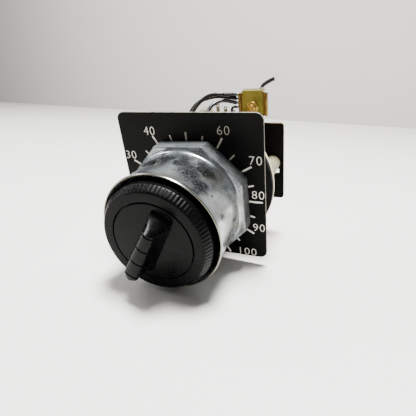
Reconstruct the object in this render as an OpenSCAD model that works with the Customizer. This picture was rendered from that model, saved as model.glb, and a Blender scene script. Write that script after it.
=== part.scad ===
// Panel-mounted rotary variable autotransformer with a 0 to 100 dial.
// The spindle lies along Y: the knob faces -Y, the transformer is at +Y and Z is up.
// The origin is on the spindle axis at the dial plate's rear face, where the panel's front face goes.
// Polar angles are measured in the XZ plane from +X towards +Z, as seen from the knob.

/* [Dial plate] */
// Width of the dial plate
plate_w = 60; // [52:1:80]
// Height of the dial plate
plate_h = 61; // [52:1:80]
// Thickness of the dial plate
plate_t = 1.2; // [0.8:0.1:2]
// Corner radius of the dial plate
plate_corner_r = 3; // [1:0.5:6]
// How far the plate's middle stands above the spindle axis
plate_rise = 4.3; // [0:0.1:6]
// How far the plate's middle stands to the right of the spindle axis
plate_offset = 0.35; // [0:0.05:1]

/* [Dial scale] */
// Angle from the lowest to the highest setting
sweep = 300; // [240:10:320]
// Outer radius of the long ticks
tick_long_r = 29.3; // [28:0.1:31]
// Outer radius of the short ticks
tick_short_r = 26.9; // [25:0.1:29]
// Outer radius of the tick at mid travel
tick_middle_r = 27.3; // [25:0.1:29]
// Inner radius of every tick
tick_in_r = 24.2; // [23:0.1:25]
// Width of the long ticks
tick_w = 1.1; // [0.5:0.1:2]

/* [Ring nut] */
// Corner radius of the octagonal flange
nut_corner_r = 25.9; // [24:0.1:32]
// Length of the flange's flats
nut_flange_len = 7.3; // [4:0.1:12]
// Length of the slope between flange and shroud
nut_slope_len = 2.7; // [1:0.1:5]
// Whole length of the nut with its shroud
nut_len = 29.8; // [24:0.1:36]
// Wall of the shroud round the knob
shroud_wall = 0.6; // [0.5:0.1:1.5]
// How far the front lip stands out of the shroud
lip_proud = 0.8; // [0.3:0.1:1.5]
// Length of the front lip
lip_len = 2.4; // [1:0.1:4]
// Length of the nut's thread
nut_thread_len = 8; // [5:0.5:12]

/* [Knob] */
// Radius of the knob's skirt
knob_r = 20.8; // [16:0.1:24]
// Radius of the knob's flat face
knob_face_r = 19.35; // [15:0.05:22]
// Length of the fluted band
knob_band_len = 3.1; // [2:0.1:5]
// How far the knob's face stands out of the shroud
knob_proud = 5.3; // [3.5:0.1:9]
// Length of the knob's skirt inside the shroud
knob_skirt_len = 9.2; // [5:0.1:11]
// Wall of the knob
knob_wall = 3; // [2:0.1:4]
// Radius of the lever disc
lever_disc_r = 15; // [12:0.1:17]
// Width of the groove round the lever disc
lever_groove = 0.5; // [0.2:0.1:1]
// Height of the lever over the knob's face
lever_h = 8; // [5:0.1:12]
// Width of the lever's ridge
lever_ridge_w = 4.6; // [3:0.1:8]

/* [Barrel and spindle] */
// Radius of the threaded barrel
barrel_r = 15; // [12:0.25:20]
// Largest panel with its gasket squeezed flat
grip_max = 11.7; // [6:0.1:16]
// Radius of the spindle
spindle_r = 3.175; // [2.5:0.005:4]
// Radial wall of the bearing bushes
bush_wall = 1.8; // [1:0.1:2.5]
// Length of the bearing bushes
bush_len = 8; // [5:0.5:10]
// Radial running clearance of the spindle in its bearings
run_clear = 0.03; // [0.02:0.01:0.08]

/* [Frame] */
// Radius of the carrier disc
disc_r = 30.1; // [27:0.1:36]
// Thickness of the carrier disc
disc_t = 1.6; // [1:0.1:3]
// Thickness of the panel gasket
gasket_t = 2.3; // [1:0.1:4]
// Length of the standoff posts
post_len = 24.2; // [23:0.1:30]
// Radius of the standoff posts
post_r = 3.45; // [2.6:0.05:3.6]
// Distance of the posts from the spindle axis
post_at_r = 24; // [23.4:0.1:26]
// Width of the back plate
back_w = 58; // [54:1:72]
// Height of the back plate beside its tabs
back_h = 38; // [34:1:46]
// Thickness of the back plate
back_t = 1.2; // [0.8:0.1:2]

/* [Transformer] */
// Outer radius of the winding
coil_out_r = 19.3; // [16:0.1:19.6]
// Inner radius of the winding
coil_in_r = 9.2; // [8.6:0.1:10.5]
// Length of the wound core along the axis
coil_len = 10.6; // [8:0.1:11]
// Thickness of the winding's wire layer
wire_t = 0.9; // [0.5:0.1:1.2]
// Thickness of the insulation round the core
core_wrap_t = 0.4; // [0.2:0.1:0.6]
// Angle that the winding leaves open
coil_gap = 40; // [30:1:60]

/* [Brush gear] */
// Radius at which the brush runs
brush_at_r = 15.6; // [14:0.1:16.4]
// Length of the brush's square side
brush_w = 2.6; // [2:0.1:3.2]
// Gap between the brush's end and the winding at rest
brush_gap = 0.1; // [0.05:0.05:0.3]
// Radius of the insulating hub
hub_r = 7.2; // [6:0.1:7.4]

/* [Terminals] */
// Width of the terminal bracket
strap_w = 9.3; // [7:0.1:11]
// Thickness of the terminal bracket
strap_t = 1.2; // [0.8:0.1:1.2]
// Height of the bracket's top over the axis
strap_top = 32.6; // [30:0.1:36]
// Radius of the terminal screw
terminal_r = 1.6; // [1.2:0.1:2]
// Radius of the insulated lead wires
lead_r = 0.85; // [0.6:0.05:1]

/* [Hidden] */

$fn = 96;
hull_fn = 32;        // facets of the round pieces inside a hull
fit = 0.2;           // radial clearance of plain clearance holes
thin = 0.05;         // thickness of the printed marks
past = 1;            // how far a cut runs past the surface it opens

// The dial
dead = 360 - sweep;             // angle without a setting, centred straight down
rest_angle = 270 - dead / 2;    // pointer direction at the lowest setting
half_step = sweep / 20;         // angle between neighbouring ticks
tick_short_w = 0.8 * tick_w;

// Stations along Y, from the dial plate towards the knob
plate_front = -plate_t;
nut_slope_y = plate_front - nut_flange_len;
shroud_y = nut_slope_y - nut_slope_len;
lip_y = plate_front - nut_len;
knob_face_y = lip_y - knob_proud;
knob_band_y = knob_face_y + knob_band_len;
knob_back_y = knob_band_y + knob_skirt_len;
barrel_front_y = plate_front - nut_thread_len;

nut_sides = 8;
nut_turn = 24.2;                // polar angle of one of the nut's corners

// Radii of the nut and the knob
shroud_r = knob_r + 1.6;        // outside of the shroud
shroud_in_r = shroud_r - shroud_wall;
lip_r = shroud_r + lip_proud;
lip_edge = 0.6;
knob_in_r = knob_r - knob_wall;
web_y = knob_face_y + 2 * knob_wall;
knob_hub_r = 7;
knob_screw_r = 1.5;
knob_screw_len = 7;
knob_screw_head_r = 2.8;
knob_screw_head_t = 1.6;
lever_disc_t = 1.5;
spindle_front_y = knob_face_y + lever_disc_t + 3.5;
knob_screw_y = spindle_front_y - 1.5;

// Stations along Y, from the panel towards the back
disc_front = grip_max + gasket_t;
disc_back = disc_front + disc_t;
barrel_flange_t = 2;
barrel_flange_r = barrel_r + 2.5;
barrel_back = disc_back + barrel_flange_t;
back_front = disc_back + post_len;
back_back = back_front + back_t;

// The barrel's inside
bush_r = spindle_r + run_clear + bush_wall;
nose_r = bush_r + 3.5;
nose_len = 13;
nose_y = barrel_front_y - nose_len;
seal_len = 2;
seal_r = 0.9;
barrel_edge = 0.8;              // chamfer of the barrel's front edges
relief = 1.4;                   // depth of the bore's relief between the bushes

// Rotor stack from the thrust washer to the winding
axial_gap = 0.1;
washer_y = nose_y - axial_gap - 0.5;
groove_r = spindle_r - 0.5;
clip_rim = 2;
clip_t = 0.8;
clip_y = barrel_back + axial_gap;
collar_y = clip_y + clip_t + axial_gap;
collar_t = 2.4;
collar_r = 7;
collar_screw_r = 0.9;
hub_y = collar_y + collar_t;
ring_y = hub_y + 0.8;
ring_len = 1.8;
ring_r = hub_r + 1;

// Travel stop
stop_at_r = 10;
stop_pin_r = 1.5;
stop_slack = 0.6;               // degrees between stop and pin at either end
stop_half = dead / 2 - asin(stop_pin_r / stop_at_r) - stop_slack;
stop_out_r = stop_at_r + stop_pin_r;
stop_pin_y = barrel_back - barrel_flange_t - 3;

// The wound core, seated in front of the terminal bracket
insulator_t = 0.3;
coil_back = back_front - strap_t - 0.1 - insulator_t;
coil_front = coil_back - coil_len;
wrap_out_r = coil_out_r - wire_t;
wrap_in_r = coil_in_r + wire_t;
wrap_front = coil_front + wire_t;
wrap_back = coil_back - wire_t;
spool_flange_t = 0.7;
spool_flange_r = 11.5;
spool_r = coil_in_r - fit;
spool_in_r = spindle_r + 1;
end_lead_r = 0.4;
end_lead_at_r = coil_out_r + end_lead_r + 0.05;

// Brush gear, which keeps its distance from the winding
arm_y = coil_front - 3.2;
arm_t = 1.2;
arm_w = 5.4;
arm_rim = 2.2;
hub_len = arm_y + arm_t + 0.4 - hub_y;
brush_back = coil_front - brush_gap;
brush_len = 3.8;
brush_front = brush_back - brush_len;
holder_wall = 0.9;
holder_w = brush_w + 2 * holder_wall;
holder_len = 2.6;
holder_y = arm_y - holder_len;
arm_reach = brush_at_r + holder_w / 2 + 0.6;
leaf_t = 0.25;
leaf_w = 2;

// Collector finger
finger_t = 0.5;
finger_w = 2.4;
finger_foot_w = 9.2;
finger_foot_z = -28;
finger_bend_z = -21.6;
collector_rivet_centres = [[-3, -25.4], [3, -25.4]];

// Posts and the back plate's tabs
post_angles = [0, 110, 250];
post_screw_r = 1.5;
post_screw_len = 8;
countersink = 1.4;
pan_head_t = 1.8;
pan_head_rim = 1.3;
slot_w = 0.7;
back_corner_r = 1.5;
tab_left = -12;
tab_top = 23.6;
peep_hole = [25.6, -4.6, 2.4];  // x, z and side of the square hole

// Rear bearing
bearing_r = bush_r;
bearing_flange_r = bearing_r + 0.6;
bearing_flange_t = 1.2;
spool_screw_r = 1;
spool_screw_len = 6;
spool_head_r = 1.5;
spool_screw_at_r = bearing_flange_r + spool_head_r + 0.1;
rear_clip_y = back_back + bearing_flange_t + axial_gap;
spindle_back_y = rear_clip_y + clip_t + 1;

// Terminal bracket and its saddle
strap_x = 10.5;
strap_mid = strap_x + strap_w / 2;
strap_front = back_front - strap_t;
strap_low = 2;
strap_bend = 3.2;
saddle_t = 1.1;
saddle_gap = 0.9;
saddle_low = 22.2;
saddle_x0 = strap_x - saddle_gap - saddle_t;
saddle_x1 = strap_x + strap_w + saddle_gap + saddle_t;
tab_right = saddle_x0 - 0.3;
terminal_z = 26.6;
terminal_tip_y = strap_front - 2.9;
nut_disc_r = terminal_r + 1;
nut_disc_t = 1.3;
terminal_head_t = 1.8;
terminal_head_r = terminal_r + 1.6;
strap_rivet_z = [6, 14];
rivet_r = 1.1;
rivet_head_t = 0.8;
rivet_head_rim = 0.7;

// Tag board
board_x0 = -3.6;
board_x1 = tab_right - 0.2;
board_z0 = 20.2;
board_z1 = tab_top - 0.2;
board_t = 1.8;
board_front = back_front - board_t;
tag_x = [-1.2, 2.5, 6.2];
tag_w = 1.6;
tag_t = 0.5;
tag_low = board_z0 + 0.6;
tag_tops = [28.2, 27, 25.4];
tag_rivet_x = [0.65, 4.35];
tag_head_r = 0.9;

// Lead wires: each runs through its points, listed as [x, y, z]
lead_sides = 8;
line_points = [[-14.1, 30, 14.6], [-13.9, 30.3, 17.6], [-13.6, 31, 22], [-11.2, 31.8, 26.4],
    [-8.4, 32.8, 29.8], [-4.8, 34, 32.3], [-0.6, 35.3, 33.1], [3.4, 37.1, 32.7], [7.4, 39.6, 31.8]];
return_points = [[-15.6, 34.8, 13.2], [-15.8, 34.6, 17.4], [-15.4, 34.5, 22], [-12.9, 34.5, 26.6],
    [-9.4, 35.2, 29.7], [-5, 36.2, 31.2], [-0.8, 37.5, 31.6], [3.2, 38.8, 31], [7.4, 40.2, 30]];
wiper_points = [[0, 17, -24.6], [3.4, 17.2, -21.6], [9.6, 17.3, -17], [14.6, 17.3, -12.8],
    [18.2, 17.3, -6.6], [19.3, 17.3, 0.6], [17.9, 17.3, 7.6], [14, 17.4, 13.6], [8, 17.7, 17.6],
    [2.4, 18.6, 19.6], [-0.6, 20.8, 21.4], [-2, 24.4, 23.6], [-2.6, 28, 26.6], [-1.4, 31.8, 29.2],
    [2.2, 35.9, 30.1], [7.4, 39.4, 28.3]];
jumper_points = [[5.9, 36.8, 24.2], [5.9, 36.8, 25.8], [6.3, 37.6, 26.8], [7.4, 39.3, 26.4]];
stub_points = [[19.2, 40.6, 35], [20.4, 40.6, 36.1], [22.4, 40.5, 37.2], [24.9, 40.4, 38.3]];
stub_core = [[18.4, 40.4, 34.2], [18.8, 40.5, 34.6], [19.2, 40.6, 35]];
lead_core_r = 0.45;
jumper_r = 0.6;

// A plate of the given outline, drawn in X and Z, from one station to another
module slab(front, back) {
    translate([0, back, 0]) rotate([90, 0, 0]) linear_extrude(back - front) children();
}

// A round plate or ring on the axis, or beside it
module ring(front, back, outer, inner = 0, at = [0, 0]) {
    slab(front, back) translate(at) difference() {
        circle(outer);
        if (inner > 0) circle(inner);
    }
}

// A turned piece whose profile is drawn as [radius, station]
module turned() {
    rotate([90, 0, 0]) rotate_extrude() mirror([0, 1, 0]) children();
}

// Part of a turned piece, from a polar angle and over a sweep
module turned_arc(start, angle) {
    rotate([90, 0, 0]) rotate([0, 0, start]) rotate_extrude(angle = angle) mirror([0, 1, 0]) children();
}

// The rectangle between two corners
module area(x0, z0, x1, z1) {
    translate([x0, z0]) square([x1 - x0, z1 - z0]);
}

// A rectangle with round corners, centred on a point
module rounded_area(size, corner, at = [0, 0]) {
    dx = size[0] / 2 - corner;
    dz = size[1] / 2 - corner;
    translate(at) {
        square([size[0], size[1] - 2 * corner], center = true);
        square([size[0] - 2 * corner, size[1]], center = true);
        for (x = [-dx, dx], z = [-dz, dz]) translate([x, z]) circle(corner);
    }
}

// Children turned so that +X points along a polar angle
module facing(angle) {
    rotate([0, -angle, 0]) children();
}

function polar(radius, angle) = [radius * cos(angle), radius * sin(angle)];
post_centres = [for (a = post_angles) polar(post_at_r, a)];
spool_screw_centres = [for (a = [90, 210, 330]) polar(spool_screw_at_r, a)];

// A wire swept along a smooth curve through points
function curve_point(p, i, t) = let(
    n = len(p) - 1, a = p[max(i - 1, 0)], b = p[i], c = p[i + 1], d = p[min(i + 2, n)])
    0.5 * (2 * b + (c - a) * t + (2 * a - 5 * b + 4 * c - d) * t * t + (3 * b - a - 3 * c + d) * t * t * t);
function smooth_path(p, steps = 3) = concat(
    [for (i = [0 : len(p) - 2], k = [0 : steps - 1]) curve_point(p, i, k / steps)], [p[len(p) - 1]]);
function unit(v) = v / norm(v);
function heading(p, i) = unit(p[min(i + 1, len(p) - 1)] - p[max(i - 1, 0)]);
function upright(d, n) = unit(n - (n * d) * d);
// The cross direction of each ring is carried on from the last, so that the tube does not twist
function carried(p, i, last) = upright(heading(p, i), last);
function cross_directions(p, i = 0, last = [0.3, 0.8, 0.2]) = i == len(p) ? [] :
    let(now = carried(p, i, last)) concat([now], cross_directions(p, i + 1, now));

module wire(points, radius, sides = lead_sides) {
    path = smooth_path(points);
    side = cross_directions(path);
    rings = len(path);
    corners = [for (i = [0 : rings - 1], k = [0 : sides - 1])
        let(d = heading(path, i), u = side[i], v = cross(d, u), a = 360 * k / sides)
        path[i] + radius * (cos(a) * u + sin(a) * v)];
    walls = [for (i = [0 : rings - 2], k = [0 : sides - 1])
        let(a = i * sides + k, b = i * sides + (k + 1) % sides)
        [a, a + sides, b + sides, b]];
    first = [for (k = [0 : sides - 1]) k];
    final = [for (k = [sides - 1 : -1 : 0]) (rings - 1) * sides + k];
    polyhedron(corners, concat(walls, [first, final]), convexity = 6);
}

// ---- the dial and the operator ----

module dial_plate() {
    color("#1b1b1b") slab(plate_front, 0) difference() {
        rounded_area([plate_w, plate_h], plate_corner_r, [plate_offset, plate_rise]);
        circle(barrel_r + fit);
    }
}

// One tick, from the common inner radius outwards
module tick(angle, outer, width) {
    rotate(angle) translate([tick_in_r, -width / 2]) square([outer - tick_in_r, width]);
}

module scale_marks() {
    color("#e8e4d8") slab(plate_front - thin, plate_front) difference() {
        for (i = [0 : 20]) {
            angle = rest_angle - i * half_step;
            if (i == 10) tick(angle, tick_middle_r, tick_w);
            else if (i % 2 == 0) tick(angle, tick_long_r, tick_w);
            else tick(angle, tick_short_r, tick_short_w);
        }
        nut_outline();
    }
}

// The ring nut's octagon
module nut_outline() {
    rotate(nut_turn) circle(nut_corner_r, $fn = nut_sides);
}

module ring_nut() {
    color("#b9bcbe") difference() {
        union() {
            slab(nut_slope_y, plate_front) nut_outline();
            turned() polygon([[0, plate_front - past], [nut_corner_r * cos(180 / nut_sides), nut_slope_y],
                [shroud_r, shroud_y], [shroud_r, lip_y + lip_len], [lip_r, lip_y + lip_len - lip_proud],
                [lip_r, lip_y + lip_edge], [lip_r - lip_edge, lip_y], [0, lip_y]]);
        }
        ring(plate_front - nut_thread_len - past, plate_front + past, barrel_r);
        ring(lip_y - past, plate_front - nut_thread_len, shroud_in_r);
    }
}

module barrel() {
    color("#a9a9a4") difference() {
        turned() polygon([[0, nose_y], [nose_r - barrel_edge, nose_y], [nose_r, nose_y + barrel_edge],
            [nose_r, barrel_front_y], [barrel_r - barrel_edge, barrel_front_y],
            [barrel_r, barrel_front_y + barrel_edge], [barrel_r, disc_back],
            [barrel_flange_r, disc_back], [barrel_flange_r, barrel_back], [0, barrel_back]]);
        ring(nose_y - past, barrel_back + past, bush_r);
        ring(nose_y + seal_len + bush_len, barrel_back - bush_len, bush_r + relief);
        ring(stop_pin_y, barrel_back + past, stop_pin_r, at = polar(stop_at_r, 270));
    }
}

module front_bush() {
    color("#a8793c") ring(nose_y + seal_len, nose_y + seal_len + bush_len, bush_r, spindle_r + run_clear);
}

module rear_bush() {
    color("#a8793c") ring(barrel_back - bush_len, barrel_back, bush_r, spindle_r + run_clear);
}

module shaft_seal() {
    color("#202020") turned()
        translate([spindle_r + run_clear + seal_r, nose_y + seal_len / 2]) circle(seal_r, $fn = 32);
}

module stop_pin() {
    color("#c9cbcc") ring(stop_pin_y, collar_y + collar_t - 0.3, stop_pin_r, at = polar(stop_at_r, 270));
}

module panel_gasket() {
    color("#26262a") ring(grip_max, disc_front, disc_r, barrel_r + fit);
}

// ---- the frame behind the panel ----

module carrier_disc() {
    color("#d9cfae") difference() {
        ring(disc_front, disc_back, disc_r, barrel_r + fit);
        for (c = post_centres) countersunk_screw(c);
        for (c = collector_rivet_centres) ring(disc_front - past, disc_back + past, rivet_r, at = c);
    }
}

// A countersunk screw whose head is flush with the carrier disc's front
module countersunk_screw(at) {
    translate([at[0], 0, at[1]]) turned() polygon([[0, disc_front], [post_screw_r + countersink, disc_front],
        [post_screw_r, disc_front + countersink], [post_screw_r, disc_back + post_screw_len],
        [0, disc_back + post_screw_len]]);
}

// The slot across a screw head whose top is at a station, facing the back
module screw_slot(at, top, length) {
    slab(top - slot_w, top + past) translate(at) square([length, slot_w], center = true);
}

module post_screws_front() {
    color("#b8b8b0") for (c = post_centres) countersunk_screw(c);
}

module post_screws_rear() {
    color("#b8b8b0") for (c = post_centres) {
        ring(back_front - post_screw_len, back_back, post_screw_r, at = c);
        difference() {
            ring(back_back, back_back + pan_head_t, post_screw_r + pan_head_rim, at = c);
            screw_slot(c, back_back + pan_head_t, 2 * (post_screw_r + pan_head_rim));
        }
    }
}

module standoff_posts() {
    color("#d8d2bd") for (c = post_centres) difference() {
        ring(disc_back, back_front, post_r, at = c);
        ring(disc_back - past, disc_back + post_screw_len, post_screw_r, at = c);
        ring(back_front - post_screw_len, back_front + past, post_screw_r, at = c);
    }
}

module back_plate() {
    color("#191917") slab(back_front, back_back) difference() {
        union() {
            rounded_area([back_w, back_h], back_corner_r);
            area(tab_left, -tab_top, tab_right, tab_top);
            for (c = post_centres) translate(c) circle(post_r);
        }
        circle(bearing_r);
        for (c = post_centres) translate(c) circle(post_screw_r);
        for (c = spool_screw_centres) translate(c) circle(spool_screw_r);
        for (z = strap_rivet_z) translate([strap_mid, z]) circle(rivet_r);
        for (x = tag_rivet_x) translate([x, (board_z0 + board_z1) / 2]) circle(rivet_r / 2);
        translate([peep_hole[0], peep_hole[1]]) square(peep_hole[2], center = true);
    }
}

module rear_bearing() {
    color("#a8793c") difference() {
        union() {
            ring(back_front, back_back, bearing_r);
            ring(back_back, back_back + bearing_flange_t, bearing_flange_r);
        }
        ring(back_front - past, back_back + bearing_flange_t + past, spindle_r + run_clear);
    }
}

// ---- the transformer ----

module core_spool() {
    color("#e3dcc3") difference() {
        union() {
            ring(coil_front - spool_flange_t, coil_front, spool_flange_r);
            ring(coil_front, back_front, spool_r);
        }
        ring(coil_front - spool_flange_t - past, back_front + past, spool_in_r);
        for (c = spool_screw_centres)
            ring(back_front - spool_screw_len, back_front + past, spool_screw_r, at = c);
    }
}

module spool_screws() {
    color("#b8b8b0") for (c = spool_screw_centres) {
        ring(back_front - spool_screw_len, back_back, spool_screw_r, at = c);
        ring(back_back, back_back + 0.9, spool_head_r, at = c);
    }
}

module toroid_core() {
    color("#6d6f72") ring(wrap_front + core_wrap_t, wrap_back - core_wrap_t,
        wrap_out_r - core_wrap_t, wrap_in_r + core_wrap_t);
}

module core_wrap() {
    color("#c8a45c") difference() {
        ring(wrap_front, wrap_back, wrap_out_r, wrap_in_r);
        ring(wrap_front + core_wrap_t, wrap_back - core_wrap_t,
            wrap_out_r - core_wrap_t, wrap_in_r + core_wrap_t);
    }
}

module winding() {
    color("#b5651d") turned_arc(270 + coil_gap / 2, 360 - coil_gap) difference() {
        area(coil_in_r, coil_front, coil_out_r, coil_back);
        area(wrap_in_r, wrap_front, wrap_out_r, wrap_back);
    }
}

// The winding's two ends, led round its outside to the lead wires
module end_leads() {
    color("#b5651d") {
        turned_arc(134.5, 115.5) translate([end_lead_at_r, line_points[0][1]]) circle(end_lead_r, $fn = 16);
        turned_arc(140, 150) translate([end_lead_at_r, return_points[0][1]]) circle(end_lead_r, $fn = 16);
    }
}

module rear_insulator() {
    color("#7c6a4a") ring(coil_back, coil_back + insulator_t, coil_out_r, spool_r + 0.05);
}

// ---- the brush's fixed contact ----

module collector_finger() {
    tip_y = ring_y + ring_len / 2 - finger_t / 2;
    color("#c98f4e") difference() {
        union() {
            slab(disc_back, disc_back + finger_t)
                area(-finger_foot_w / 2, finger_foot_z, finger_foot_w / 2, finger_bend_z);
            slab(disc_back, tip_y + finger_t)
                area(-finger_w / 2, finger_bend_z - finger_t, finger_w / 2, finger_bend_z);
            slab(tip_y, tip_y + finger_t)
                area(-finger_w / 2, finger_bend_z - finger_t, finger_w / 2, -ring_r);
        }
        ring(tip_y - past, tip_y + finger_t + past, ring_r + run_clear);
        for (c = collector_rivet_centres) ring(disc_back - past, disc_back + past, rivet_r, at = c);
    }
}

module collector_rivets() {
    color("#b8b8b0") for (c = collector_rivet_centres) {
        ring(disc_front, disc_back + finger_t, rivet_r, at = c);
        ring(disc_back + finger_t, disc_back + finger_t + 0.6, rivet_r + 0.5, at = c);
    }
}

// ---- the terminals ----

module terminal_bracket() {
    color("#b5a12a") difference() {
        union() {
            slab(strap_front, back_front) area(strap_x, strap_low, strap_x + strap_w, strap_top);
            translate([strap_x, strap_front, strap_top]) cube([strap_w, strap_t + strap_bend, strap_t]);
        }
        ring(strap_front - past, back_front + past, terminal_r + 0.1, at = [strap_mid, terminal_z]);
        for (z = strap_rivet_z) ring(strap_front - past, back_front + past, rivet_r, at = [strap_mid, z]);
    }
}

module bracket_rivets() {
    color("#b8b8b0") for (z = strap_rivet_z) {
        ring(strap_front, back_back, rivet_r, at = [strap_mid, z]);
        ring(back_back, back_back + rivet_head_t, rivet_r + rivet_head_rim, at = [strap_mid, z]);
    }
}

module wire_saddle() {
    color("#9a7440") difference() {
        slab(strap_front + 0.2, back_front + saddle_t) area(saddle_x0, saddle_low, saddle_x1, strap_top);
        slab(strap_front - past, back_front)
            area(saddle_x0 + saddle_t, saddle_low - past, saddle_x1 - saddle_t, strap_top + past);
        ring(back_front - past, back_front + saddle_t + past, terminal_r + 0.1, at = [strap_mid, terminal_z]);
    }
}

module terminal_screw() {
    head_y = back_front + saddle_t;
    color("#c2b280") difference() {
        union() {
            ring(terminal_tip_y, head_y, terminal_r, at = [strap_mid, terminal_z]);
            ring(head_y, head_y + terminal_head_t, terminal_head_r, at = [strap_mid, terminal_z]);
        }
        screw_slot([strap_mid, terminal_z], head_y + terminal_head_t, 2 * terminal_head_r);
    }
}

module terminal_nut() {
    color("#b9b08a") ring(strap_front - nut_disc_t, strap_front, nut_disc_r, terminal_r,
        at = [strap_mid, terminal_z]);
}

module tag_board() {
    color("#5e3a1e") slab(board_front, back_front) difference() {
        area(board_x0, board_z0, board_x1, board_z1);
        for (x = tag_rivet_x) translate([x, (board_z0 + board_z1) / 2]) circle(rivet_r / 2);
    }
}

module solder_tags() {
    color("#b79a62") for (i = [0 : len(tag_x) - 1]) {
        x = tag_x[i];
        difference() {
            slab(board_front - tag_t, board_front) area(x - tag_w / 2, tag_low, x + tag_w / 2, tag_tops[i]);
            ring(board_front - past, board_front + past, 0.4, at = [x, tag_tops[i] - 0.8]);
        }
    }
}

module tag_rivets() {
    mid = (board_z0 + board_z1) / 2;
    color("#b8b8b0") for (x = tag_rivet_x) {
        ring(board_front, back_back, rivet_r / 2, at = [x, mid]);
        ring(board_front - 0.5, board_front, tag_head_r, at = [x, mid]);
        ring(back_back, back_back + 0.5, tag_head_r, at = [x, mid]);
    }
}

// An insulated wire, and its bare end soldered to the saddle's side
module soldered_lead(points, radius) {
    end = points[len(points) - 1];
    color("#1c1c1f") wire(points, radius);
    color("#c9c5ba") translate(end) rotate([0, 90, 0]) cylinder(h = saddle_x0 - end[0], r = lead_core_r);
}

module lead_line() { soldered_lead(line_points, lead_r); }
module lead_return() { soldered_lead(return_points, lead_r); }
module lead_wiper() { soldered_lead(wiper_points, lead_r); }
module tap_jumper() { soldered_lead(jumper_points, jumper_r); }

module lead_stub() {
    color("#1c1c1f") wire(stub_points, lead_r);
    color("#b9b5ac") wire(stub_core, 0.35);
}

// ---- the rotor, drawn at the lowest setting ----

module knob_body() {
    color("#1d1d1f") difference() {
        turned() polygon([[0, knob_face_y], [knob_face_r, knob_face_y], [knob_r, knob_band_y],
            [knob_r, knob_back_y], [knob_in_r, knob_back_y], [knob_in_r, web_y], [knob_hub_r, web_y],
            [knob_hub_r, washer_y], [0, washer_y]]);
        ring(knob_face_y - past, knob_face_y + lever_disc_t, lever_disc_r + lever_groove);
        ring(knob_face_y, knob_screw_y, knob_screw_head_r + fit);
        ring(knob_face_y, spindle_front_y, knob_screw_r);
        ring(spindle_front_y, nose_y, spindle_r);
    }
}

// A round stud of the lever, on the lever's own line
module lever_stud(along, radius, front, back) {
    translate([along, 0, 0]) ring(front, back, radius, $fn = hull_fn);
}

module knob_lever() {
    ridge_y = knob_face_y - lever_h;
    foot_y = knob_face_y + 0.4;
    tip = lever_disc_r - 4.6;
    heel = 4 - lever_disc_r;
    ridge_heel = heel + 3.6;
    ridge_r = lever_ridge_w / 2;
    color("#1d1d1f") {
        ring(knob_face_y, knob_face_y + lever_disc_t, lever_disc_r);
        facing(rest_angle) hull() {
            lever_stud(tip, ridge_r + 2.1, knob_face_y, foot_y);
            lever_stud(heel, ridge_r + 1.3, knob_face_y, foot_y);
            lever_stud(tip, ridge_r + 0.4, ridge_y, ridge_y + 3);
            lever_stud(ridge_heel, ridge_r - 0.2, ridge_y + 0.6, ridge_y + 3);
        }
    }
}

module knob_screw() {
    head_front = knob_screw_y - knob_screw_head_t;
    color("#b8b8b0") difference() {
        union() {
            ring(head_front, knob_screw_y, knob_screw_head_r);
            ring(knob_screw_y, spindle_front_y + knob_screw_len, knob_screw_r);
        }
        slab(head_front - past, head_front + slot_w) square([2 * knob_screw_head_r, slot_w], center = true);
    }
}

module spindle() {
    color("#c4c6c8") difference() {
        turned() polygon([[0, spindle_front_y], [spindle_r, spindle_front_y], [spindle_r, clip_y],
            [groove_r, clip_y], [groove_r, clip_y + clip_t], [spindle_r, clip_y + clip_t],
            [spindle_r, rear_clip_y], [groove_r, rear_clip_y], [groove_r, rear_clip_y + clip_t],
            [spindle_r, rear_clip_y + clip_t], [spindle_r, spindle_back_y], [0, spindle_back_y]]);
        ring(spindle_front_y - past, spindle_front_y + knob_screw_len, knob_screw_r);
    }
}

module thrust_washer() {
    color("#e6e2d4") ring(washer_y, nose_y - axial_gap, knob_hub_r, spindle_r);
}

// A snap ring in a spindle groove, open on one side
module snap_ring(front) {
    color("#55575a") difference() {
        ring(front, front + clip_t, spindle_r + clip_rim, groove_r);
        facing(rest_angle + 180) slab(front - past, front + clip_t + past)
            area(0, -groove_r / 2, 2 * spindle_r, groove_r / 2);
    }
}

module spindle_clip() { snap_ring(clip_y); }
module rear_clip() { snap_ring(rear_clip_y); }

// The clamp screw's bore runs out from the spindle, away from the stop's finger
module collar_screw_bore(radius, length) {
    facing(rest_angle + 180) translate([spindle_r, collar_y + collar_t / 2, 0])
        rotate([0, 90, 0]) cylinder(h = length, r = radius);
}

module stop_collar() {
    color("#b08d57") difference() {
        union() {
            ring(collar_y, collar_y + collar_t, collar_r);
            turned_arc(rest_angle - stop_half, 2 * stop_half)
                area(collar_r - past, collar_y, stop_out_r, collar_y + collar_t);
        }
        ring(collar_y - past, collar_y + collar_t + past, spindle_r);
        collar_screw_bore(collar_screw_r, collar_r);
    }
}

module stop_collar_screw() {
    color("#55575a") collar_screw_bore(collar_screw_r, collar_r - spindle_r - 0.3);
}

module brush_hub() {
    color("#4a2f1c") difference() {
        ring(hub_y, hub_y + hub_len, hub_r);
        ring(hub_y - past, hub_y + hub_len + past, spindle_r);
    }
}

module slip_ring() {
    color("#c9a24d") ring(ring_y, ring_y + ring_len, ring_r, hub_r);
}

// The square place of the brush, seen along the spindle
module brush_area(side) {
    translate([brush_at_r, 0]) square(side, center = true);
}

module brush_arm() {
    color("#b7babd") facing(rest_angle) slab(arm_y, arm_y + arm_t) difference() {
        union() {
            circle(hub_r + arm_rim);
            area(0, -arm_w / 2, arm_reach, arm_w / 2);
        }
        circle(hub_r);
        brush_area(brush_w);
    }
}

module brush_holder() {
    color("#c9a24d") facing(rest_angle) slab(holder_y, arm_y) difference() {
        brush_area(holder_w);
        brush_area(brush_w);
    }
}

module carbon_brush() {
    color("#37383b") facing(rest_angle) slab(brush_front, brush_back) brush_area(brush_w);
}

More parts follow.
